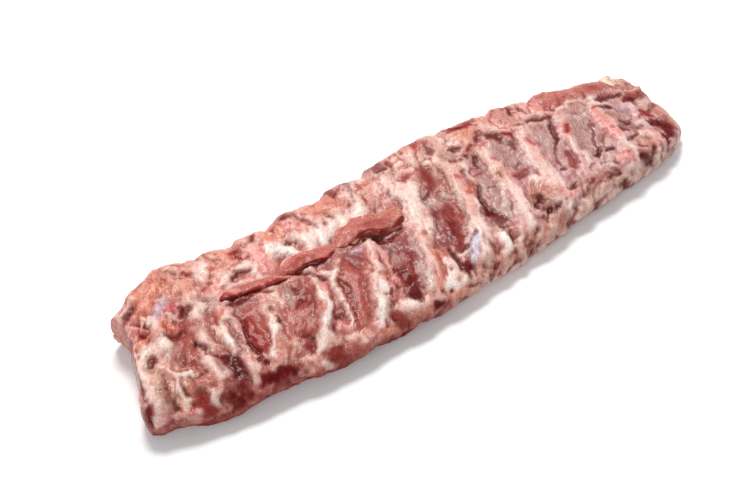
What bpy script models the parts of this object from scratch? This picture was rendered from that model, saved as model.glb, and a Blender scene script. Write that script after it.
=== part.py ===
"""A raw rack of pork loin ribs, lying bone side up.

Run it with: blender --background --python part.py, or from Blender's text editor.
Metres, +Z up. X runs along the rack, from its squarely cut near end to its rounded far end.
Y runs along the ribs, from their tips (-Y) to the sawn chine (+Y). The origin is the middle of
the rack's box, on the surface that it lies on.

One solid is the meat and fat, with the ridges that the ribs raise in it. Each rib is a bone of its
own, which runs through the meat in a bore and shows, sawn off, at the chine.
"""

import math

import bmesh
import bpy
import numpy as np

# ---- driving dimensions, in metres -----------------------------------------------------------

LENGTH = 0.500
WIDTH = 0.140
HEIGHT_TIPS = 0.0235  # the top near the rib tips, over the surface that the rack lies on
HEIGHT_MIDDLE = 0.0285
HEIGHT_CHINE = 0.0325
CROWN = (  # the mean top across the rack: (y, height)
    (-0.058, HEIGHT_TIPS),
    (-0.035, (HEIGHT_TIPS + HEIGHT_MIDDLE) / 2 + 0.001),
    (0.000, HEIGHT_MIDDLE),
    (0.034, HEIGHT_CHINE),
    (0.060, 0.95 * HEIGHT_CHINE),
)
FAR_THINNING = 0.32  # share of the height lost at the rounded far end
FAR_THINNING_LENGTH = 0.075

RIB_HALF_WIDTH = 0.0080
RIB_RISE = 0.0020  # ridge over a rib, above the mean top
VALLEY_DROP = 0.0026  # meat between two ribs, under it
RIDGES_TIPS = (-0.063, -0.050)  # the relief fades in from 0 to 1 over this stretch of y
RIDGES_CHINE = (0.022, 0.044)  # and out over this one
RIDGES_NEAR = (-0.248, -0.238)  # and likewise along x, at the two ends
RIDGES_FAR = (0.222, 0.240)
CHINE_SCALLOP = 0.0025  # how far the sawn edge swings out at a rib and in between two
TIP_SCALLOP = 0.0012
SCALLOP_FADE = 0.06  # share of an edge over which its scallops fade out at a corner
RIB_CHINE_Y = 0.018  # the two lines across which the ribs' places are given
RIB_TIP_Y = -0.047
RIB_STRAIGHTENING = 0.12  # share of its slant that a rib loses past the chine line

BONE_HALF_WIDTH = 0.0062
BONE_HALF_DEPTH = 0.0038
BONE_COVER = 0.0032  # meat over a bone
BONE_GAP = 0.0003  # clearance all round a bone
HEAD_HALF_WIDTH = 0.0105  # the sawn head, where its neighbours leave it room
HEAD_SHARE = 0.27  # and this share of the way to the nearer neighbour, where they don't
HEAD_HALF_DEPTH = 0.0056
HEAD_HEIGHT = 0.0225  # a sawn face's middle, over the surface that the rack lies on
HEAD_INSET = 0.0026  # and in from the chine's widest outline
HEAD_LEAN = 0.45  # how far a sawn face leans back, for each unit of its height
HEAD_FROM, HEAD_FULL = 0.62, 0.90  # shares of a bone's length between which it swells into its head
HEAD_LINE_Y = 0.058  # the line across which the heads' places along the chine are worked out
TIP_INSET = 0.012  # where a bone ends, in from the rib-tip edge
TIP_LINE_Y = -0.060
TIP_SIZE = 0.72  # a bone's width at its tip, as a share of its full width
TIP_FULL = 0.22  # share of its length at which it has its full width
BORE_RUN_OUT = 0.020  # how far a bore's cutter runs out past the chine

CELLS_LONG, CELLS_WIDE = 92, 26
BONE_SIDES = 10
BONE_STATIONS = (0.0, 0.06, 0.22, 0.42, 0.60, 0.74, 0.84, 0.93, 1.0)  # shares of a bone's length

# Where each rib crosses the chine line and the tip line, along X.
RIB_PLACES = (
    (-0.207, -0.239),
    (-0.1805, -0.199),
    (-0.161, -0.175),
    (-0.124, -0.155),
    (-0.085, -0.115),
    (-0.039, -0.071),
    (0.002, -0.027),
    (0.048, 0.021),
    (0.082, 0.061),
    (0.118, 0.098),
    (0.155, 0.131),
    (0.191, 0.173),
    (0.219, 0.205),
)

# The trimmed remains of the skirt muscle that lie across the ribs: (one end, other end, half width, rise).
SKIRT_STRIPS = (
    ((-0.150, 0.016), (-0.118, 0.006), 0.0060, 0.0030),
    ((-0.110, 0.009), (-0.086, 0.008), 0.0085, 0.0034),
    ((-0.054, 0.003), (-0.016, 0.018), 0.0095, 0.0038),
)

STRIP_EDGE = (0.45, 1.10)  # a strip falls away between these shares of its half width

# ---- the outline at its widest, as four curves that meet at the corners ------------------------

TIP_EDGE = (
    (-0.249, -0.044), (-0.218, -0.056), (-0.178, -0.062), (-0.128, -0.067), (-0.080, -0.069),
    (-0.030, -0.069), (0.022, -0.067), (0.062, -0.063), (0.107, -0.056), (0.150, -0.051),
    (0.190, -0.046), (0.226, -0.036),
)
CHINE_EDGE = (
    (-0.229, 0.043), (-0.205, 0.055), (-0.180, 0.063), (-0.156, 0.059), (-0.128, 0.055),
    (-0.094, 0.057), (-0.060, 0.058), (-0.028, 0.061), (0.005, 0.065), (0.042, 0.067),
    (0.080, 0.067), (0.120, 0.063), (0.160, 0.058), (0.192, 0.053), (0.218, 0.048), (0.238, 0.038),
)
NEAR_END = ((-0.249, -0.044), (-0.245, -0.030), (-0.237, -0.004), (-0.232, 0.018), (-0.229, 0.043))
FAR_END = ((0.226, -0.036), (0.245, -0.026), (0.250, -0.014), (0.246, 0.002), (0.243, 0.022), (0.238, 0.038))

# ---- how the surface turns down at each side: (in from the outline, share of the full height) ---

TIP_TURN = ((0.0080, 0.0), (0.0015, 0.14), (0.0, 0.36), (0.0018, 0.66), (0.0060, 0.86), (0.0120, 1.0))
CHINE_TURN = ((0.0030, 0.0), (0.0, 0.32), (0.0008, 0.62), (0.0050, 0.90), (0.0100, 0.98), (0.0160, 1.0))
NEAR_TURN = ((0.0010, 0.0), (0.0, 0.30), (0.0, 0.80), (0.0012, 0.94), (0.0040, 1.0), (0.0090, 1.0))
FAR_TURN = ((0.0120, 0.0), (0.0020, 0.22), (0.0, 0.50), (0.0030, 0.74), (0.0100, 0.90), (0.0200, 1.0))
TURN_RINGS = len(TIP_TURN) - 1

MEAT_COLOUR = (0.46, 0.17, 0.14, 1.0)
BONE_COLOUR = (0.62, 0.42, 0.40, 1.0)


def smooth_step(low, high, value):
    """0 below low, 1 above high, and a smooth rise between them."""
    t = np.clip((value - low) / (high - low), 0.0, 1.0)
    return t * t * (3.0 - 2.0 * t)


def along(points, t):
    """Points of the smooth curve through these, at t from 0 to 1 by the length of its chords."""
    points = np.array(points)
    chords = np.linalg.norm(np.diff(points, axis=0), axis=1)
    knots = np.concatenate([[0.0], np.cumsum(chords)]) / chords.sum()
    slopes = np.gradient(points, knots, axis=0)
    i = np.clip(np.searchsorted(knots, t, side="right") - 1, 0, len(points) - 2)
    step = (knots[i + 1] - knots[i])[..., None]
    u = (t - knots[i])[..., None] / step
    return (
        (2 * u**3 - 3 * u**2 + 1) * points[i]
        + (u**3 - 2 * u**2 + u) * step * slopes[i]
        + (3 * u**2 - 2 * u**3) * points[i + 1]
        + (u**3 - u**2) * step * slopes[i + 1]
    )


def rib_x(place, y):
    """Where a rib's line is at y: straight between its two places, and more upright past the chine line."""
    chine, tip = place
    share = (y - RIB_TIP_Y) / (RIB_CHINE_Y - RIB_TIP_Y)
    return tip + (chine - tip) * (share - RIB_STRAIGHTENING * np.maximum(share - 1.0, 0.0))


def ribness(x, y):
    """1 on a rib's line, falling to 0 between two ribs."""
    lines = np.array([rib_x(place, y) for place in RIB_PLACES])
    return np.exp(-((np.abs(lines - x).min(axis=0) / RIB_HALF_WIDTH) ** 2))


def edge_point(edge, scallop, outward, t):
    """The outline on its tip or chine side, swung out at each rib and in between them."""
    place = along(edge, t)
    fade = smooth_step(0.0, SCALLOP_FADE, t) * smooth_step(0.0, SCALLOP_FADE, 1.0 - t)
    swing = scallop * (2.0 * ribness(place[..., 0], place[..., 1]) - 1.0) * fade * outward
    return place + np.stack([np.zeros_like(swing), swing], axis=-1)


def plan(a, b):
    """The place at a from 0 to 1 along the rack and b from 0 to 1 across it, between the outline's four curves."""
    tip = edge_point(TIP_EDGE, TIP_SCALLOP, -1.0, a)
    chine = edge_point(CHINE_EDGE, CHINE_SCALLOP, 1.0, a)
    near, far = along(NEAR_END, b), along(FAR_END, b)
    a, b = a[..., None], b[..., None]
    corners = (
        (1 - a) * (1 - b) * np.array(TIP_EDGE[0])
        + a * (1 - b) * np.array(TIP_EDGE[-1])
        + (1 - a) * b * np.array(CHINE_EDGE[0])
        + a * b * np.array(CHINE_EDGE[-1])
    )
    return (1 - b) * tip + b * chine + (1 - a) * near + a * far - corners


def fit():
    """The scale and shift that bring the outline to LENGTH by WIDTH about the origin."""
    t = np.linspace(0.0, 1.0, 400)
    sides = (plan(t, 0 * t), plan(t, 0 * t + 1), plan(0 * t, t), plan(0 * t + 1, t))
    outline = np.concatenate(sides)
    low, high = outline.min(axis=0), outline.max(axis=0)
    scale = np.array((LENGTH, WIDTH)) / (high - low)
    return scale, -scale * (low + high) / 2


def crown(x, y):
    """The mean height of the rack's top, away from its edges."""
    far = smooth_step(LENGTH / 2 - FAR_THINNING_LENGTH, LENGTH / 2, x)
    return np.interp(y, *np.transpose(CROWN)) * (1.0 - FAR_THINNING * far)


def rib_relief(x, y):
    """The ridges over the ribs and the valleys between them, which fade out towards the edges."""
    zone = smooth_step(*RIDGES_TIPS, y) * (1.0 - smooth_step(*RIDGES_CHINE, y))
    zone = zone * smooth_step(*RIDGES_NEAR, x) * (1.0 - smooth_step(*RIDGES_FAR, x))
    return (ribness(x, y) * (RIB_RISE + VALLEY_DROP) - VALLEY_DROP) * zone


def skirt_relief(x, y):
    """The low mounds of the skirt muscle's remains."""
    relief = np.zeros_like(x)
    for start, stop, half_width, rise in SKIRT_STRIPS:
        run = np.subtract(stop, start)
        share = np.clip(((x - start[0]) * run[0] + (y - start[1]) * run[1]) / (run @ run), 0.0, 1.0)
        away = np.hypot(x - start[0] - share * run[0], y - start[1] - share * run[1])
        relief = np.maximum(relief, rise * (1.0 - smooth_step(*(half_width * np.array(STRIP_EDGE)), away)))
    return relief


def meat_point(i, j, scale, shift):
    """The surface of the meat at column i and row j of its grid, whose outer rings turn down at the sides."""
    ring = np.minimum(np.minimum(i, CELLS_LONG - i), np.minimum(j, CELLS_WIDE - j))
    turn = np.minimum(ring, TURN_RINGS)
    inset = {}
    share = {}
    for name, table in (("tip", TIP_TURN), ("chine", CHINE_TURN), ("near", NEAR_TURN), ("far", FAR_TURN)):
        inset[name], share[name] = np.array(table).T[:, turn]
    low_a, high_a = inset["near"] / LENGTH, 1.0 - inset["far"] / LENGTH
    low_b, high_b = inset["tip"] / WIDTH, 1.0 - inset["chine"] / WIDTH
    a = low_a + (high_a - low_a) * (i - turn) / (CELLS_LONG - 2 * turn)
    b = low_b + (high_b - low_b) * (j - turn) / (CELLS_WIDE - 2 * turn)
    place = plan(a, b) * scale + shift
    # Near a corner the turn is a mean of both sides' turns, the nearer side's counting for more.
    distance = {"near": i - turn, "far": CELLS_LONG - i - turn, "tip": j - turn, "chine": CELLS_WIDE - j - turn}
    weight = {name: 1.0 / (1.0 + cells) ** 2 for name, cells in distance.items()}
    total = sum(weight.values())
    height_share = sum(weight[name] * share[name] for name in weight) / total
    height_share = np.where(ring >= TURN_RINGS, 1.0, height_share)
    x, y = place[..., 0], place[..., 1]
    height = (crown(x, y) + rib_relief(x, y) + skirt_relief(x, y)) * height_share
    return np.stack([x, y, height], axis=-1)


def new_object(name, bm, material, sharp_angle):
    """A mesh object of this bmesh, smooth but for its sharp edges."""
    mesh = bpy.data.meshes.new(name)
    bm.to_mesh(mesh)
    bm.free()
    mesh.materials.append(material)
    mesh.shade_smooth()
    mesh.set_sharp_from_angle(angle=math.radians(sharp_angle))
    made = bpy.data.objects.new(name, mesh)
    bpy.context.scene.collection.objects.link(made)
    return made


def new_material(name, colour, roughness):
    """A plain material for the solids."""
    made = bpy.data.materials.new(name)
    made.use_nodes = True
    shader = made.node_tree.nodes["Principled BSDF"]
    shader.inputs["Base Color"].default_value = colour
    shader.inputs["Roughness"].default_value = roughness
    return made


def make_meat(material, scale, shift):
    """The meat and fat: a grid laid over the rack's form, closed by the flat face that it lies on."""
    bm = bmesh.new()
    bmesh.ops.create_grid(bm, x_segments=CELLS_LONG, y_segments=CELLS_WIDE, size=1.0)
    flat = np.array([v.co[:2] for v in bm.verts])
    i = np.rint((flat[:, 0] + 1) / 2 * CELLS_LONG).astype(int)
    j = np.rint((flat[:, 1] + 1) / 2 * CELLS_WIDE).astype(int)
    for vert, place in zip(bm.verts, meat_point(i, j, scale, shift)):
        vert.co = place
    bmesh.ops.contextual_create(bm, geom=[edge for edge in bm.edges if edge.is_boundary])
    bmesh.ops.recalc_face_normals(bm, faces=bm.faces)
    return new_object("meat", bm, material, 50)


def edge_y(edge, scallop, outward, x, scale, shift):
    """The outline's Y on its tip or chine side, at x."""
    outline = edge_point(edge, scallop, outward, np.linspace(0.0, 1.0, 400)) * scale + shift
    return float(np.interp(x, outline[:, 0], outline[:, 1]))


def bone_course(place, scale, shift, grow, run_out):
    """A rib bone's rings from its tip to its sawn head: (middle, half width, half depth, lean) of each.

    grow widens it all round, and run_out carries it past the chine, as a bore's cutter needs.
    """
    room = min(abs(place[0] - other[0]) for other in RIB_PLACES if other is not place)
    head_half_width = min(HEAD_HALF_WIDTH, HEAD_SHARE * room)
    start = edge_y(TIP_EDGE, TIP_SCALLOP, -1.0, rib_x(place, TIP_LINE_Y), scale, shift) + TIP_INSET
    stop = edge_y(CHINE_EDGE, CHINE_SCALLOP, 1.0, rib_x(place, HEAD_LINE_Y), scale, shift) - HEAD_INSET
    share = np.array(BONE_STATIONS)
    y = start + (stop - start) * share
    x = rib_x(place, y)
    head = smooth_step(HEAD_FROM, HEAD_FULL, share)
    tip = TIP_SIZE + (1 - TIP_SIZE) * smooth_step(0.0, TIP_FULL, share)
    head_height = min(HEAD_HEIGHT, float(crown(x[-1], y[-1])) - BONE_COVER - HEAD_HALF_DEPTH)
    z = (crown(x, y) - BONE_COVER - BONE_HALF_DEPTH) * (1 - head) + head_height * head
    half_width = BONE_HALF_WIDTH * tip * (1 - head) + head_half_width * head + grow
    half_depth = BONE_HALF_DEPTH * tip * (1 - head) + HEAD_HALF_DEPTH * head + grow
    rings = np.stack([x, y, z, half_width, half_depth, HEAD_LEAN * head], axis=-1)
    rings[0, 1] -= grow
    if run_out:
        last = rings[-1].copy()
        last[0] = rib_x(place, last[1] + run_out)
        last[1] += run_out
        rings = np.vstack([rings, last])
    return rings


def sweep(rings):
    """A bmesh of the closed oval tube through these rings."""
    bm = bmesh.new()
    bmesh.ops.create_grid(bm, x_segments=len(rings) - 1, y_segments=BONE_SIDES, size=1.0)
    for vert in bm.verts:
        x, y, z, half_width, half_depth, lean = rings[round((vert.co.x + 1) / 2 * (len(rings) - 1))]
        turn = math.pi * (vert.co.y + 1)
        rise = half_depth * math.sin(turn)
        vert.co = (x + half_width * math.cos(turn), y - lean * rise, z + rise)
    bmesh.ops.remove_doubles(bm, verts=bm.verts, dist=1e-6)
    bmesh.ops.holes_fill(bm, edges=bm.edges, sides=0)
    bmesh.ops.recalc_face_normals(bm, faces=bm.faces)
    return bm


def make_bones(meat, material, scale, shift):
    """The rib bones, and the bore that each lies in."""
    for number, place in enumerate(RIB_PLACES, 1):
        bone = bone_course(place, scale, shift, 0.0, 0.0)
        bore = bone_course(place, scale, shift, BONE_GAP, BORE_RUN_OUT)
        new_object(f"rib_{number:02d}", sweep(bone), material, 40)
        cutter = new_object(f"bore_{number:02d}", sweep(bore), material, 40)
        cutter.hide_render = True
        cutter.display_type = "WIRE"
        cut = meat.modifiers.new(cutter.name, "BOOLEAN")
        cut.operation = "DIFFERENCE"
        cut.solver = "EXACT"
        cut.object = cutter


def main():
    for obj in list(bpy.data.objects):
        bpy.data.objects.remove(obj)
    scale, shift = fit()
    meat = make_meat(new_material("meat", MEAT_COLOUR, 0.4), scale, shift)
    make_bones(meat, new_material("bone", BONE_COLOUR, 0.55), scale, shift)


main()
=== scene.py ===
"""A raw rack of pork loin ribs, bone side up, with its wet meat, fat, films and sawn bones.

Laid out as an add-on and run as a script: main() registers the classes, then makes each piece
with its operator. Tables of places are in millimetres in the rack's own frame: X along the rack
towards its rounded end, Y from the rib tips to the sawn chine, Z up.
"""

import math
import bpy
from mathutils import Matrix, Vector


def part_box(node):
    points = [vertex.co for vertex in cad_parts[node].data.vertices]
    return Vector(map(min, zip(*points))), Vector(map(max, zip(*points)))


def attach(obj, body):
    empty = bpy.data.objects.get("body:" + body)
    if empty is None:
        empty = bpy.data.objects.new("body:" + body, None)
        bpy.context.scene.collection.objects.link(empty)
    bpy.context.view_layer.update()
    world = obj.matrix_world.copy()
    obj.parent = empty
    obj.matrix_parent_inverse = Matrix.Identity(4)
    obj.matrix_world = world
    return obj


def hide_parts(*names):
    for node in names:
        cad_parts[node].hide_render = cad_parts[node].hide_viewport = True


bl_info = {
    "name": "Raw Rack of Ribs",
    "version": (1, 0, 0),
    "blender": (4, 5, 0),
    "location": "View3D > Sidebar > Ribs",
    "description": "Makes a raw rack of ribs with its meat, fat, membranes and sawn bones",
    "category": "Add Mesh",
}

import bmesh
import bpy
import numpy as np
from bpy.props import FloatProperty, FloatVectorProperty, PointerProperty
from mathutils import Vector, noise

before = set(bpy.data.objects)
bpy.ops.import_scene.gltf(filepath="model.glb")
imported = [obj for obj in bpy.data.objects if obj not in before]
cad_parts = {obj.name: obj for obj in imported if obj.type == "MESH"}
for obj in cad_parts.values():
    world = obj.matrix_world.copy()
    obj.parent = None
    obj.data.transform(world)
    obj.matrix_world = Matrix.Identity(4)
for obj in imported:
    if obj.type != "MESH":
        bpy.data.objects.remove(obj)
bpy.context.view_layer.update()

MM = 0.001
MEAT_LOW, MEAT_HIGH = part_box("meat")
LENGTH = MEAT_HIGH[0] - MEAT_LOW[0]
WIDTH = MEAT_HIGH[1] - MEAT_LOW[1]

# ---- the slab's form, in millimetres ------------------------------------------------------------

CROWN = ((-58, 23.5), (-35, 27.0), (0, 28.5), (34, 32.5), (60, 31.0))  # mean top: (y, height)
# The slab thins towards its rounded end: by this share, at this x, over this length before it.
FAR_THINNING, FAR_THINNING_TO, FAR_THINNING_LENGTH = 0.32, 250.0, 75.0
RIB_PLACES = (  # where each rib crosses y = 18 and y = -47
    (-207, -239), (-180.5, -199), (-161, -175), (-124, -155), (-85, -115), (-39, -71), (2, -27),
    (48, 21), (82, 61), (118, 98), (155, 131), (191, 173), (219, 205),
)
RIB_CHINE_Y, RIB_TIP_Y = 18.0, -47.0
RIB_HALF_WIDTH = 7.5
HEAD_Y, HEAD_Z = 58.0, 20.5  # where the sawn rib heads lie
TIP_EDGE = (
    (-247, -44), (-218, -57), (-205, -61), (-178, -64), (-150, -65.5), (-128, -69.5), (-105, -70.5),
    (-80, -70), (-30, -70.5), (22, -66.5), (62, -63), (107, -56), (150, -51.5), (190, -46),
    (212, -42), (226, -38),
)
CHINE_EDGE = (
    (-230, 43), (-205, 55), (-180, 63), (-156, 59), (-128, 55), (-94, 57), (-60, 58), (-28, 61),
    (5, 65), (42, 67), (80, 67), (120, 63), (160, 58), (192, 53), (221, 51), (248, 46),
)
NEAR_END = ((-247, -44), (-247, -32), (-240, -12), (-235, 5), (-228, 26), (-230, 43))
FAR_END = ((226, -38), (242, -27), (248, -14), (249, 4), (250, 27), (248, 46))
# The lumps of fat along the chine: (x, how far each stands out and up).
CHINE_LUMPS = (
    (-229, 1.4), (-221, 2.6), (-213, 4.4), (-205, 4.2), (-197, 4.2), (-189, 4.8), (-181, 4.8),
    (-173, 3.6), (-165, 1.4), (-157, 2.6), (-149, 4.6), (-141, 3.4), (-129, 1.8), (-125, 4.2),
    (-109, 3.4), (-101, 1.0), (-93, 3.6), (-85, 4.8), (-77, 4.8), (-69, 4.0), (-61, 2.6), (-53, 2.2),
    (-45, 4.8), (-37, 5.2), (-27, 4.4), (-20, 2.2), (-12, 0.4), (-7, 3.6), (3, 4.0), (11, 4.0),
    (19, 5.2), (27, 5.0), (43, 5.4), (52, 5.4), (60, 3.8), (69, 4.2), (75, 4.6), (83, 3.0), (91, 4.2),
    (99, 3.8), (109, 1.8), (115, 4.4), (131, 3.4), (140, 2.8), (147, 0.9), (155, 2.8), (163, 3.0),
    (171, 2.6), (179, 0.8), (187, -0.2), (203, 2.2), (211, 1.4), (220, 0.8), (243, 0.8),
)
# How high the belly under the rib tips lifts off what it lies on: (x, height).
TIP_LIFT = (
    (-250, 3), (-241, 2), (-233, 7), (-225, 8), (-214, 3), (-203, 3), (-193, 4.5), (-183, 6), (-172, 8.5),
    (-161, 8.5), (-150, 7), (-139, 8.5), (-127, 6), (-115, 4.5), (-103, 7), (-91, 10), (-79, 4.5),
    (-66, 3), (-53, 10), (-40, 5), (-26, 4.5), (-12, 6), (2, 8), (16, 5), (31, 3), (46, 2), (61, 5),
    (76, 3), (94, 4), (113, 7), (130, 3), (149, 8), (166, 3), (184, 4), (203, 6), (225, 6), (250, 3),
)
NEAR_LIFT = 7.0  # the same under the near end, from its middle to the chine
# How the surface turns down at each side: (in from the outline, share of the full height).
TIP_TURN = ((9, 0), (2, 0.10), (0, 0.32), (1.9, 0.58), (7, 0.80), (14, 0.94), (22, 1))
CHINE_TURN = ((3, 0), (0, 0.32), (0.8, 0.66), (5, 0.92), (10, 0.98), (16, 1))
NEAR_TURN = ((1.5, 0), (0, 0.30), (0, 0.78), (1.2, 0.94), (4, 1), (9, 1))
FAR_TURN = ((12, 0), (2, 0.22), (0, 0.50), (3, 0.74), (10, 0.90), (20, 1))
TURN_RINGS = 24
TURN_HEIGHT = 28.0  # the height in millimetres that spaces the rings down a side
CORNER_CELLS = 4.0  # about how many cells of the grid two sides share at a corner
LUMP_FOOT = 0.3  # how much of a chine lump's overhang its foot has
UNROLLED = 1.15  # how far a millimetre of wall reaches outward when it is unrolled flat
CELLS_LONG, CELLS_WIDE = 540, 166
UNDER_LONG, UNDER_WIDE = 96, 30
UNDER_MIDDLE, UNDER_REACH = 0.505, (0.474, 0.40)  # the flat underside, as shares of the plan

# ---- the bones and the strips, in millimetres ---------------------------------------------------

SHAFT_HALF_WIDTH, SHAFT_HALF_DEPTH = 6.2, 3.8
HEAD_HALF_HEIGHT = 5.6
SAWN_FACE = ((0.93, 0.25), (0.86, 0.1), (0.6, 0.15), (0.3, 0.2), (0.0, 0.2))  # (size, push outward)
HEAD_PROBE = (5.0, 4.0)  # how far aside, and up and down, the sawn side is felt around a head
HEAD_PROUD = 0.7  # how far a head stands out of the sawn side
BONE_INSET = 10.0  # how far from the rib tips' edge a bone ends
BONE_RINGS, BONE_SIDES, BONE_SHARP = 28, 40, math.radians(50)
STRIP_RINGS, STRIP_SIDES = 90, 56

# ---- the stage, in metres -----------------------------------------------------------------------

KEY_PLACE, FILL_PLACE = (0.44, 1.12, 2.1), (-1.3, -0.9, 1.3)
CAMERA_TARGET = (-0.0369, 0.0057, 0.015)

# ---- colours ------------------------------------------------------------------------------------

# How lean each tissue is: 0 is smooth fat or membrane, 1 is fibrous meat.
LEANNESS = {
    "ivory": 0.0, "cream": 0.0, "fat": 0.05, "pink": 0.1, "salmon": 0.2, "tan": 0.2, "orange": 0.4,
    "flesh": 0.8, "lean": 1.0, "red": 0.8, "dark": 1.0, "maroon": 1.0, "purple": 0.8, "mauve": 0.6,
    "brown": 0.5, "pit": 0.3, "grey": 0.2, "lavender": 0.0, "blue": 0.0, "magenta": 0.3, "crimson": 0.5,
    "beige": 0.1, "rose": 0.3, "taupe": 0.4, "peach": 0.5,
}

# How the relief paints shade into the colour in its hollows and a painted highlight on its crests: (by
# each millimetre against the mean close by, the same against the wider mean, most).
HOLLOW_SHADE, CREST_PAINTED_HIGHLIGHT = (0.33, 0.14, 0.65), (0.25, 0.07, 0.45)
SHADE_POWERS = (1.0, 1.75, 1.75)  # a hollow takes more green and blue than red
STREAK_TAKES = (0.25, 0.75, 0.70)  # and so does a streak of blood
PALEST, CONTRAST = (0.93, 0.78, 0.73), 1.24

# Shades within the tissues, linear.
FIBRE_DARK, FILM_STREAK_AND_SHEEN = (0.13, 0.014, 0.016, 1), (0.86, 0.70, 0.64, 1)
FLECK_DARK, FLECK_PALE = (0.24, 0.045, 0.035, 1), (0.88, 0.74, 0.68, 1)
BLOOD, MARBLING = (0.50, 0.085, 0.075, 1), (0.83, 0.62, 0.54, 1)
MARROW_BLOOD, BONE_STAIN = (0.20, 0.02, 0.02, 1), (0.60, 0.20, 0.17, 1)
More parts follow.
